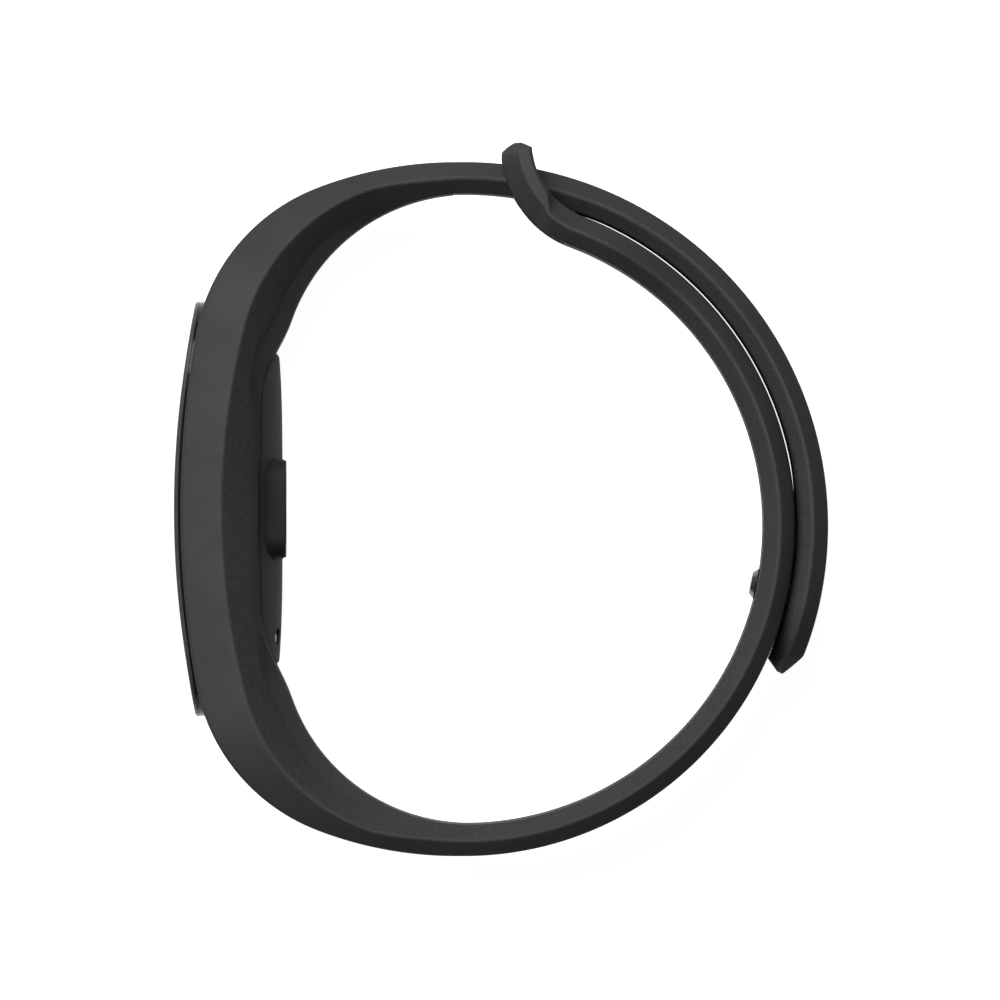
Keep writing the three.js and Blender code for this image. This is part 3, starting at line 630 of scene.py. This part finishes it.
# %% [markdown]
# ## The pocket and the window
# The capsule sits in a pocket that opens outwards, over a smaller window to the wrist. A plain block as a
# cutter leaves a knife edge, which no mould does. So the pocket's cutter flares where it leaves the rubber,
# and the opening keeps a soft mouth. Each pair in its list is how far the pocket widens, and how deep below
# the outer face.


# %% Pocket cutters
def pocket_cutters():
    def x_outside(y, z):
        return CRADLE_ARC[0] - math.sqrt(CRADLE_ARC[2] ** 2 - y * y)

    def pocket_plan(flare):
        room = FIT + flare
        return plan(CAPSULE_HALF_LENGTH + room, CAPSULE_HALF_WIDTH + room, CAPSULE_CORNER + room)

    mouth = ((0.22, -3.0), (0.22, 0.0), (0.09, 0.04), (0.02, 0.14), (0.0, 0.30))
    pocket = [plan_ring(pocket_plan(flare), lambda y, z, d=depth: x_outside(y, z) + d)
              for flare, depth in mouth]
    pocket.append(plan_ring(pocket_plan(0.0), SHOULDER_X + FIT))
    window_plan = plan(WINDOW_HALF + FIT, BACK_HALF_WIDTH + FIT, BACK_CORNER + FIT)
    window = [plan_ring(window_plan, SHOULDER_X - 1), plan_ring(window_plan, WRIST_X + 3)]
    return (piece_from_rings("pocket_cutter", pocket, ELASTOMER),
            piece_from_rings("window_cutter", window, ELASTOMER))


# %% [markdown]
# ## Turned shapes and the row of holes
# A hole is round, and so is the peg, so one function makes both: it spins a profile about a line that points
# out from the ring's centre. A modifier could spin it too, but a function can aim the line at any angle. A
# point on the line itself gets a very thin radius, so that the mesh stays closed.

# %% Turning
PEG_ANGLE = -11.3
THIN = 1e-4


def turned(name, profile, angle, material, sides=40, sharp_degrees=38, closed=False):
    """Turns a profile of (radius, distance from the ring's centre) about a line out at an angle."""
    out = polar(1, angle) - polar(0, angle)
    side = Vector((-out.y, out.x, 0))
    up = Vector((0, 0, 1))
    rings = [[polar(distance, angle) + (side * math.cos(turn) + up * math.sin(turn)) * max(radius, THIN)
              for turn in (2 * math.pi * k / sides for k in range(sides))] for radius, distance in profile]
    return piece_from_rings(name, rings, material, sharp_degrees, closed)


# %% Hole cutter
HOLE_PITCH_ANGLE = 9.5
HOLE_RADIUS = 1.36


def hole_cutter(angle):
    mouth = [(0.34, 0.0), (0.16, 0.05), (0.05, 0.15), (0.0, 0.34)]
    widest = HOLE_RADIUS + mouth[0][0]
    profile = [(widest, LOOP_ARM_INNER - 0.6)]
    profile += [(HOLE_RADIUS + flare, LOOP_ARM_INNER + depth) for flare, depth in mouth]
    profile += [(HOLE_RADIUS + flare, LOOP_ARM_OUTER - depth) for flare, depth in reversed(mouth)]
    profile += [(widest, LOOP_ARM_OUTER + 0.07)]
    return turned("hole_cutter", profile, angle, ELASTOMER, 32)


hole_spacing = math.radians(HOLE_PITCH_ANGLE) * (LOOP_ARM_INNER + LOOP_ARM_OUTER) / 2
print("from hole to hole in mm:", round(hole_spacing, 2))

# %% [markdown]
# ## The loop's slot
# The peg arm slides through a slot in the loop. A straight block could cut it, but the arms are round there,
# and it would leave one rail thicker than the other. So the block follows the ring, with rounded corners.

# %% Slot cutter
SLOT_HALF_WIDTH = PEG_ARM_HALF_WIDTH + 0.3


def slot_cutter():
    """A block that follows the ring, from inside it out to the underside of the loop's end bar."""
    first, last, corner = 70.6, 88.0, 1.3
    rings = []
    for radius in (LOOP_ARM_INNER - 2, PEG_ARM_OUTER + 0.15):
        outline = []
        for angle, z in ((last, 1), (first, 1), (first, -1), (last, -1)):
            span = math.degrees(corner / LOOP_ARM_OUTER)
            drawn_in = span if angle == first else -span
            arc = [(angle + drawn_in * (1 - math.cos(t)), z * (SLOT_HALF_WIDTH - corner * (1 - math.sin(t))))
                   for t in steps(0, math.pi / 2, 6)]
            outline += arc if (angle == last) != (z < 0) else arc[::-1]
        rings.append([polar(radius, angle, z) for angle, z in outline])
    return piece_from_rings("slot_cutter", rings, ELASTOMER)


print("slot is", round(2 * SLOT_HALF_WIDTH, 2), "mm wide")

# %% [markdown]
# ## Moulding the band
# The real band is one moulding, but its tail has to move. So it is made of two lofts. This one makes the
# part that never moves: the start of the peg arm, the cradle, the loop arm and the loop. The next makes the
# rest of the peg arm with its tail. They meet near the top of the ring with the same section, so no joint
# shows.

# %% Band body
SEAM = 92.0
SEAM_STEP = 0.05
BAND_SHARP = 26
ring_angles = [SEAM, *steps(SEAM + SEAM_STEP, 360 + LOOP_START, 290)]
loop_places = steps(0, len(WRIST_EDGE) - 1, 56)[1:]
sections = [ring_section(angle) for angle in ring_angles] + [loop_section(t) for t in loop_places]
band = piece_from_rings("band_body", sections, ELASTOMER, BAND_SHARP)
holes = [hole_cutter(PEG_ANGLE + i * HOLE_PITCH_ANGLE) for i in range(-5, 7)]
cut(band, [*pocket_cutters(), slot_cutter(), *holes], BAND_SHARP)
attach(band, "strap")
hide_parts("strap_body")
print("band faces:", len(band.data.polygons))

# %% [markdown]
# ## The tail
# The peg arm's end lies on the outside of the loop arm. Its tip is rounded in plan and sharpened to a wedge
# from both faces. The real tail bends when the peg is pulled, but here it is one loft that doesn't bend.

# %% Peg arm and tail
TIP_ANGLE = PEG_ANGLE - 13.76
ROUND_ANGLE = 12.5
WEDGE_ANGLE = 3.9


def tail_section(angle):
    past_round = max(0.0, (TIP_ANGLE + ROUND_ANGLE - angle) / ROUND_ANGLE)
    past_wedge = min(1.0, max(0.0, (TIP_ANGLE + WEDGE_ANGLE - angle) / WEDGE_ANGLE))
    under = min(1.0, max(0.0, (TIP_ANGLE + 1.35 - angle) / 1.35))
    half_width = PEG_ARM_HALF_WIDTH * math.sqrt(max(0.0, 1 - (0.985 * past_round) ** 2))
    inner = PEG_ARM_INNER + hollow(angle) + 1.3 * under
    outer = PEG_ARM_OUTER - 1.15 * past_wedge
    return ring_section(angle, inner, outer, half_width)


def tail_angles():
    straight = [SEAM, *steps(SEAM - SEAM_STEP, TIP_ANGLE + ROUND_ANGLE, 96)]
    turn = [TIP_ANGLE + ROUND_ANGLE * (1 - math.sin(t)) for t in steps(0, math.pi / 2, 30)[1:]]
    return straight + turn


tail = piece_from_rings("band_tail", [tail_section(angle) for angle in tail_angles()], ELASTOMER, BAND_SHARP)
button_seat = [(3.0, PEG_ARM_OUTER - 1.7), (3.0, PEG_ARM_OUTER - 0.2), (3.25, PEG_ARM_OUTER + 0.6)]
flange_seat = [(2.2, PEG_ARM_INNER - 0.05), (2.2, PEG_ARM_INNER + 0.9)]
cut(tail, [turned("button_seat", button_seat, PEG_ANGLE, ELASTOMER),
           turned("flange_seat", flange_seat, PEG_ANGLE, ELASTOMER)], BAND_SHARP)
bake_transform(tail)
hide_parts("strap_tail")
print("tail faces:", len(tail.data.polygons))

# %% [markdown]
# ## The capsule's lens
# The front is one curved plate that stands a little out of the cradle. The rim of its outer layer is ground
# round, and it is painted lighter than the glass, a painted reflection that shows as a light line. The layer
# under it is dyed black and polished. Clear glass over a black layer would be nearer to the real thing, but
# seen from the side it would let the pale floor through, and the real edge looks black. So both layers are
# dark, and only the rim is painted lighter, as a painted reflection. Both are stacks of the same rounded
# plan, each ring drawn in a little more where the edge is round.

# %% Lens
LENS_FRONT_RADIUS = 90.0
LENS_BACK_RADIUS = 88.9
LENS_CENTRE_X = lens_low.x + LENS_FRONT_RADIUS


def lens_x(radius):
    return lambda y, z: LENS_CENTRE_X - math.sqrt(radius * radius - y * y) + 0.004 * z * z


def capsule_plan(inset):
    return plan(CAPSULE_HALF_LENGTH - inset, CAPSULE_HALF_WIDTH - inset, CAPSULE_CORNER - inset)


def shrinking(outline_at, x, start, limit, count):
    """Rings that run in from an edge towards the middle over a surface."""
    return [plan_ring(outline_at(inset), x) for inset in steps(start, limit, count)[1:]]


def lens_part(name, front_radius, back_radius, edge, material):
    back = shrinking(capsule_plan, lens_x(back_radius), 0, CAPSULE_HALF_WIDTH, 6)
    round_edge = [
        plan_ring(capsule_plan(edge * (1 - math.cos(t))), lens_x(front_radius - edge * (1 - math.sin(t))))
        for t in steps(0, math.pi / 2, 8)
    ]
    front = shrinking(capsule_plan, lens_x(front_radius), edge, CAPSULE_HALF_WIDTH, 12)
    rings = back[::-1] + [plan_ring(capsule_plan(0), lens_x(back_radius))] + round_edge + front
    return piece_from_rings(name, rings, material, 50)


def rim_painted_reflection():
    bench = Bench("glass_rim_painted_reflection", Specular_IOR_Level=0.06)
    streaks = bench.noise(0.6, 3, (6, 1, 1))
    # The rim is painted several times lighter than the dark glass, a painted reflection, varied by the
    # streaks.
    dull, bright = (0.018, 0.018, 0.0185), (0.025, 0.025, 0.0255)
    bench.colour(bench.mix_colour(bench.spread(streaks, 0, 1), dull, bright))
    bench.roughness(bench.spread(streaks, 0.22, 0.36))
    bench.bump(streaks, 0.003, 0.2)
    return bench.material


def smoked_glass():
    bench = Bench("smoked_glass", Specular_IOR_Level=0.08)
    bench.colour(bench.mix_colour(bench.noise(6, 3), (0.0035, 0.0035, 0.0037), (0.0050, 0.0050, 0.0052)))
    bench.roughness(bench.spread(bench.noise(5, 3), 0.07, 0.13))
    bench.bump(bench.noise(0.5, 2), 0.002, 0.1)
    return bench.material


RIM_PAINTED_REFLECTION, SMOKED_GLASS = rim_painted_reflection(), smoked_glass()
cover = lens_part("lens_cover_layer", LENS_FRONT_RADIUS, LENS_FRONT_RADIUS - 0.36, 0.26, SMOKED_GLASS)
# The rim's faces, turned away from the front, take the painted reflection.
cover.data.materials.append(RIM_PAINTED_REFLECTION)
for polygon in cover.data.polygons:
    polygon.material_index = 1 if -0.93 < polygon.normal.x < 0.5 else 0
dyed = lens_part("lens_dyed_layer", LENS_FRONT_RADIUS - 0.38, LENS_BACK_RADIUS, 0.05, SMOKED_GLASS)
for part in (cover, dyed):
    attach(part, "capsule")
    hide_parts("front_lens")
print("lens layers:", len(cover.data.polygons) + len(dyed.data.polygons), "faces")

# %% [markdown]
# ## The back shell
# The shell is a thin hollow tub. It has a wide part in the pocket and a narrower domed part that comes
# through the window to the wrist. A solid block with a hole cut in it would do for the eye, but the wall's
# thickness is easier to keep with one loft, which goes up the inside, over the rim and down the outside.
# Room for the pad and the two charging contacts is cut out of it afterwards.

# %% Back shell
BACK_X = WRIST_X + 0.14
DOME_RISE = 2.1
DOME_RADIUS = (BACK_HALF_WIDTH ** 2 + DOME_RISE ** 2) / (2 * DOME_RISE)
DOME_END_DROP = 0.34
WALL = 0.9


def dome_x(inset=0.0):
    def x(y, z):
        across = math.sqrt((DOME_RADIUS - inset) ** 2 - z * z)
        return BACK_X - DOME_RADIUS + across - DOME_END_DROP * (y / WINDOW_HALF) ** 4

    return x


def back_plan(inset):
    return plan(WINDOW_HALF - inset, BACK_HALF_WIDTH - inset, BACK_CORNER - inset)


def satin_plastic(name, first, second):
    bench = Bench(name, Specular_IOR_Level=0.08)
    bench.colour(bench.mix_colour(bench.spread(bench.noise(5, 4), 0, 1), first, second))
    spark = bench.noise(0.09, 2)
    bench.roughness(bench.maths(bench.spread(spark, 0.62, 0.72), bench.spread(bench.noise(3), 0, 0.08), "ADD"))
    bench.bump(spark, 0.006, 0.3)
    return bench.material


SHELL_PLASTIC = satin_plastic("shell_plastic", (0.0230, 0.0234, 0.0243), (0.0272, 0.0276, 0.0288))
EDGE = 0.55
RIM_RADIUS = LENS_BACK_RADIUS - 0.41
POCKET_INSET = 0.15
inside = shrinking(lambda i: back_plan(WALL + i), dome_x(WALL), 0.0, BACK_HALF_WIDTH - WALL, 10)[::-1]
inside += [plan_ring(back_plan(WALL), dome_x(WALL)), plan_ring(back_plan(WALL), SHOULDER_X - WALL)]
inside += [plan_ring(capsule_plan(POCKET_INSET + WALL), SHOULDER_X - WALL),
           plan_ring(capsule_plan(POCKET_INSET + WALL), lens_x(RIM_RADIUS))]
outside = [plan_ring(capsule_plan(POCKET_INSET + 0.05), lens_x(RIM_RADIUS)),
           plan_ring(capsule_plan(POCKET_INSET), lens_x(RIM_RADIUS - 0.1)),
           plan_ring(capsule_plan(POCKET_INSET), SHOULDER_X - 0.2),
           plan_ring(capsule_plan(POCKET_INSET + 0.2), SHOULDER_X),
           plan_ring(back_plan(0), SHOULDER_X)]
for t in steps(0, math.pi / 2, 8):
    outside.append(plan_ring(back_plan(EDGE * (1 - math.cos(t))),
                             lambda y, z, t=t: dome_x()(y, z) - EDGE * (1 - math.sin(t))))
outside += shrinking(back_plan, dome_x(), EDGE, BACK_HALF_WIDTH, 16)
shell = piece_from_rings("back_shell_moulding", inside + outside, SHELL_PLASTIC, 40)


def turned_on_dome(name, profile, top, y, z, material, sharp_degrees):
    """Turns a profile of (radius, height above top) about a line through the dome."""
    y, z = CAPSULE_Y + y, MIDDLE_Z + z
    rings = [[Vector((top + x, y + radius * math.cos(turn), z + radius * math.sin(turn)))
              for turn in (2 * math.pi * k / 40 for k in range(40))] for radius, x in profile]
    return piece_from_rings(name, rings, material, sharp_degrees)


def round_cutter(name, y, z, radius, depth):
    mouth = [(0.12, 0.6), (0.07, 0.02), (0.02, -0.05), (0.0, -0.12), (0.0, -depth)]
    profile = [(radius + flare, x) for flare, x in mouth]
    return turned_on_dome(name, profile, dome_x()(y, z), y, z, SHELL_PLASTIC, 38)


PAD_HALF_LENGTH = (pad_high.y - pad_low.y) / 2
PAD_HALF_WIDTH = (pad_high.z - pad_low.z) / 2
CONTACT_Y = 2.7 - WINDOW_HALF
CONTACT_Z = 2.4
pad_room_plan = plan(PAD_HALF_LENGTH - 0.01, PAD_HALF_WIDTH - 0.01, 2.19)
pad_room_rings = [plan_ring(pad_room_plan, x) for x in (SHOULDER_X + 0.5, BACK_X + 1)]
pad_room = piece_from_rings("pad_room", pad_room_rings, SHELL_PLASTIC)
contact_rooms = [round_cutter("contact_room", CONTACT_Y, side * CONTACT_Z, 0.86, 2.2) for side in (-1, 1)]
cut(shell, [pad_room, *contact_rooms], 40)
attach(shell, "capsule")
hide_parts("back_shell")
print("shell faces:", len(shell.data.polygons))

# %% [markdown]
# ## The sensor pad
# The pad is a small block that stands proud of the dome and lies on the skin, with a sunk dark window for
# the light. Set into its hole with a gap it would let the floor shine through, so it is a tight fit. Its
# two ends run out onto the dome in a hollow round, and each ring of that round is a mix of the dome and the
# pad's top.


# %% Sensor pad
PAD_PLASTIC = satin_plastic("pad_plastic", (0.0056, 0.0058, 0.0062), (0.0072, 0.0074, 0.0078))


def pad_plan(inset, flare=0.0):
    return plan(PAD_HALF_LENGTH - inset + flare, PAD_HALF_WIDTH - inset, max(0.02, 2.2 - inset))


PAD_EDGE = 0.08
PAD_FLARE = 0.42
PAD_X = pad_high.x
pad_rings = [plan_ring(pad_plan(1.0 + i), PAD_X - 0.8) for i in steps(0, 3.6, 4)[::-1]]
pad_rings += [plan_ring(pad_plan(1.0), pad_low.x), plan_ring(pad_plan(0.0), pad_low.x)]
pad_rings += [plan_ring(pad_plan(0, PAD_FLARE * (1 - math.sin(t))),
                        lambda y, z, t=t: mix(PAD_X - PAD_EDGE, dome_x(0.04)(y, z), math.cos(t)))
              for t in steps(0, math.pi / 2, 6)]
pad_rings += [plan_ring(pad_plan(PAD_EDGE * (1 - math.cos(t))), PAD_X - PAD_EDGE * (1 - math.sin(t)))
              for t in steps(0, math.pi / 2, 8)]
WINDOW_DROP = 0.08
pad_face = ((0.9, 0.0), (1.15, 0.0), (1.2, 0.03), (1.25, WINDOW_DROP), (1.6, WINDOW_DROP), (3.0, WINDOW_DROP),
            (PAD_HALF_LENGTH, WINDOW_DROP))
pad_rings += [plan_ring(pad_plan(inset), PAD_X - drop) for inset, drop in pad_face]
pad = piece_from_rings("sensor_pad_block", pad_rings, PAD_PLASTIC, 50)
pad.data.materials.append(SMOKED_GLASS)
for polygon in pad.data.polygons:
    if polygon.normal.x > 0.9 and PAD_X - 0.1 < polygon.center.x / MM < PAD_X - 0.06:
        polygon.material_index = 1
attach(pad, "capsule")
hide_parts("sensor_pad")
print("pad faces:", len(pad.data.polygons))

# %% [markdown]
# ## Metal finishes
# Turning leaves fine scratches on metal. A line of even roughness would look like chrome paint, so the
# roughness and a faint bump follow a stretched noise, and the colour varies in soft patches.


# %% Steel and gold
def metal(name, base, worn, rough_low, rough_high, scratch_stretch):
    bench = Bench(name, Metallic=1.0, Anisotropic=0.25)
    scratches = bench.noise(0.35, 5, scratch_stretch)
    bench.colour(bench.mix_colour(bench.spread(bench.noise(1.6, 4), 0, 1), base, worn))
    bench.roughness(bench.spread(scratches, rough_low, rough_high))
    bench.bump(scratches, 0.004, 0.2)
    return bench.material


DARK_STEEL = metal("dark_steel", (0.125, 0.122, 0.118), (0.19, 0.185, 0.18), 0.24, 0.38, (1, 1, 6))
GOLD = metal("contact_gold", (0.60, 0.42, 0.17), (0.78, 0.60, 0.30), 0.18, 0.36, (1, 4, 1))
print("metals:", DARK_STEEL.name, GOLD.name)

# %% [markdown]
# ## The peg
# The peg is turned from dark steel: a head with a cone that pushes through the hole, a thin neck, a flange,
# and the button on the outside. Stacked cylinders would give it hard steps, so each piece is one profile,
# spun about the line of the hole, with its small rounds drawn in.

# %% Peg
HEAD_TOP = LOOP_ARM_INNER - 0.63
stud_profile = [
    (0.0, HEAD_TOP - 0.06), (0.55, HEAD_TOP - 0.045), (0.95, HEAD_TOP), (1.09, HEAD_TOP + 0.03),
    (1.16, HEAD_TOP + 0.11), (1.40, HEAD_TOP + 0.40), (1.46, HEAD_TOP + 0.47), (1.45, HEAD_TOP + 0.53),
    (1.38, HEAD_TOP + 0.58), (1.12, LOOP_ARM_INNER), (1.05, LOOP_ARM_INNER + 0.12),
    (1.05, PEG_ARM_INNER + 0.02), (1.12, PEG_ARM_INNER + 0.1), (1.82, PEG_ARM_INNER + 0.1),
    (1.9, PEG_ARM_INNER + 0.18), (1.9, PEG_ARM_INNER + 0.52), (1.82, PEG_ARM_INNER + 0.6),
    (1.12, PEG_ARM_INNER + 0.6), (1.05, PEG_ARM_INNER + 0.67), (1.05, PEG_ARM_OUTER - 1.22),
    (0.97, PEG_ARM_OUTER - 1.15), (0.0, PEG_ARM_OUTER - 1.15),
]
stud = turned("peg_stud_turned", stud_profile, PEG_ANGLE, DARK_STEEL, 56, 30)
BUTTON_BOTTOM = PEG_ARM_OUTER - 1.1
BUTTON_TOP = PEG_ARM_OUTER - 0.05
button_profile = [
    (0.0, BUTTON_BOTTOM), (2.62, BUTTON_BOTTOM), (2.7, BUTTON_BOTTOM + 0.08), (2.7, BUTTON_TOP - 0.28),
    (2.68, BUTTON_TOP - 0.16), (2.61, BUTTON_TOP - 0.06), (2.50, BUTTON_TOP - 0.01), (2.3, BUTTON_TOP),
    (2.0, BUTTON_TOP - 0.01), (1.6, BUTTON_TOP - 0.05), (0.8, BUTTON_TOP - 0.10), (0.0, BUTTON_TOP - 0.11),
]
button = turned("peg_button_turned", button_profile, PEG_ANGLE, DARK_STEEL, 64, 30)
washer_low, washer_high = PEG_ARM_OUTER - 1.6, PEG_ARM_OUTER - 1.2
washer_profile = [
    (1.37, washer_low), (2.64, washer_low), (2.7, washer_low + 0.06), (2.7, washer_high - 0.06),
    (2.64, washer_high), (1.41, washer_high), (1.35, washer_high - 0.06), (1.35, washer_low + 0.03),
]
washer = turned("peg_washer_turned", washer_profile, PEG_ANGLE, DARK_STEEL, 48, 30, closed=True)
for piece, node in ((stud, "peg_stud"), (button, "peg_button"), (washer, "peg_washer")):
    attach(piece, "tail")
    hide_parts(node)
print("peg reaches in to radius", round(HEAD_TOP, 2), "mm")

# %% [markdown]
# ## The charging contacts
# Two gilded brass pins sit a little below the dome, each in its own hole. Flat discs would look stuck on, so
# each pin is turned like the peg, with a low crown and a soft edge.

# %% Charging contacts
CONTACT_TOP = BACK_X - 0.62
contact_profile = [(THIN, 0.03), (0.3, 0.025), (0.55, 0.01), (0.68, -0.01), (0.76, -0.06), (0.8, -0.16),
                   (0.8, -0.86), (THIN, -0.88)]
for name, side in (("left", -1), ("right", 1)):
    contact = turned_on_dome("charge_contact_" + name + "_pin", contact_profile, CONTACT_TOP, CONTACT_Y,
                             side * CONTACT_Z, GOLD, 35)
    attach(contact, "capsule")
    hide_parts("charge_contact_" + name)
print("contacts sit", round(BACK_X - CONTACT_TOP, 2), "mm below the top of the dome")

# %% [markdown]
# ## What the capsule holds
# The inner parts could be remade like the outside, but nobody sees them until the capsule is opened. So
# they keep the shapes of the machine model, and only get the finish that each material has: glass-fibre
# board under green varnish, tinned sheet, black resin, foil, copper under orange film.


# %% Finishes inside
def plain_finish(name, first, second, rough, size_mm, depth_mm, stretch=(1, 1, 1), **sockets):
    bench = Bench(name, **sockets)
    pattern = bench.noise(size_mm, 3, stretch)
    bench.colour(bench.mix_colour(bench.spread(pattern, 0, 1), first, second))
    bench.roughness(bench.spread(bench.noise(size_mm * 2), rough - 0.06, rough + 0.06))
    bench.bump(bench.noise(size_mm / 2, 2, stretch), depth_mm, 0.4)
    return bench.material


INNER_FINISHES = [
    (plain_finish("black_adhesive", (0.010, 0.010, 0.011), (0.016, 0.016, 0.017), 0.55, 1.5, 0.01),
     ["lens_adhesive"]),
    (plain_finish("touch_layer", (0.020, 0.022, 0.026), (0.028, 0.030, 0.036), 0.18, 2, 0.002),
     ["touch_film"]),
    (plain_finish("screen", (0.006, 0.007, 0.010), (0.010, 0.011, 0.015), 0.12, 3, 0.002),
     ["display_panel"]),
    (plain_finish("carrier_plastic", (0.045, 0.045, 0.047), (0.060, 0.060, 0.062), 0.5, 1, 0.01),
     ["display_carrier", "board_connector", "light_barrier", "antenna_strip"]),
    (plain_finish("flex_circuit", (0.42, 0.17, 0.035), (0.55, 0.25, 0.06), 0.32, 1.2, 0.004, (1, 1, 6)),
     ["display_flex", "sensor_flex"]),
    (plain_finish("circuit_board", (0.012, 0.085, 0.040), (0.018, 0.12, 0.055), 0.30, 0.5, 0.008, (1, 4, 1),
                  Coat_Weight=0.3, Coat_Roughness=0.2),
     ["main_board", "sensor_board", "battery_board"]),
    (plain_finish("chip_resin", (0.020, 0.020, 0.021), (0.030, 0.030, 0.031), 0.5, 0.3, 0.006),
     ["processor_chip", "memory_chip", "power_chip", "motion_sensor", "photodiode"]),
    (plain_finish("tinned_steel", (0.55, 0.55, 0.54), (0.68, 0.68, 0.67), 0.30, 1.4, 0.006, (1, 5, 1),
                  Metallic=1.0),
     ["shield_can", "clock_crystal", "motor_case", "motor_shaft"]),
    (plain_finish("battery_foil", (0.50, 0.51, 0.52), (0.62, 0.63, 0.64), 0.38, 1.8, 0.02, Metallic=0.9),
     ["battery_cell"]),
    (plain_finish("green_led", (0.30, 0.55, 0.20), (0.42, 0.68, 0.30), 0.22, 0.5, 0.003),
     ["green_led_left", "green_led_right"]),
    (plain_finish("motor_tungsten", (0.30, 0.29, 0.28), (0.40, 0.39, 0.38), 0.34, 0.4, 0.006, (1, 1, 5),
                  Metallic=1.0),
     ["motor_weight"]),
]
for material, nodes in INNER_FINISHES:
    for node in nodes:
        for material_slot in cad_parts[node].material_slots:
            material_slot.link = "OBJECT"
            material_slot.material = material
print("inner finishes:", len(INNER_FINISHES))

# %% [markdown]
# ## Floor
# The band lies on its side on a pale studio floor. Lit paint alone turns grey away from the lamp, and the
# black band's shadow would draw the eye. So the paint glows faintly by itself, as a light table does, and
# only a breath of shadow is left.


# %% Floor
def floor_paint():
    bench = Bench("floor_paint", Specular_IOR_Level=0.2, Emission_Color=(1, 1, 1, 1), Emission_Strength=0.97)
    bench.colour(bench.mix_colour(bench.noise(60, 3), (0.27, 0.27, 0.27), (0.29, 0.29, 0.29)))
    bench.roughness(bench.spread(bench.noise(20), 0.5, 0.6))
    bench.bump(bench.noise(2, 2), 0.01, 0.1)
    return bench.material


floor_build = bmesh.new()
bmesh.ops.create_grid(floor_build, x_segments=8, y_segments=8, size=1.5)
floor_mesh = bpy.data.meshes.new("studio_floor")
floor_build.to_mesh(floor_mesh)
floor_build.free()
floor = bpy.data.objects.new("studio_floor", floor_mesh)
floor.location.z = cad_box[0].z - HAIR
floor_mesh.materials.append(floor_paint())
bpy.context.scene.collection.objects.link(floor)
print("floor at height", round(floor.location.z, 4))
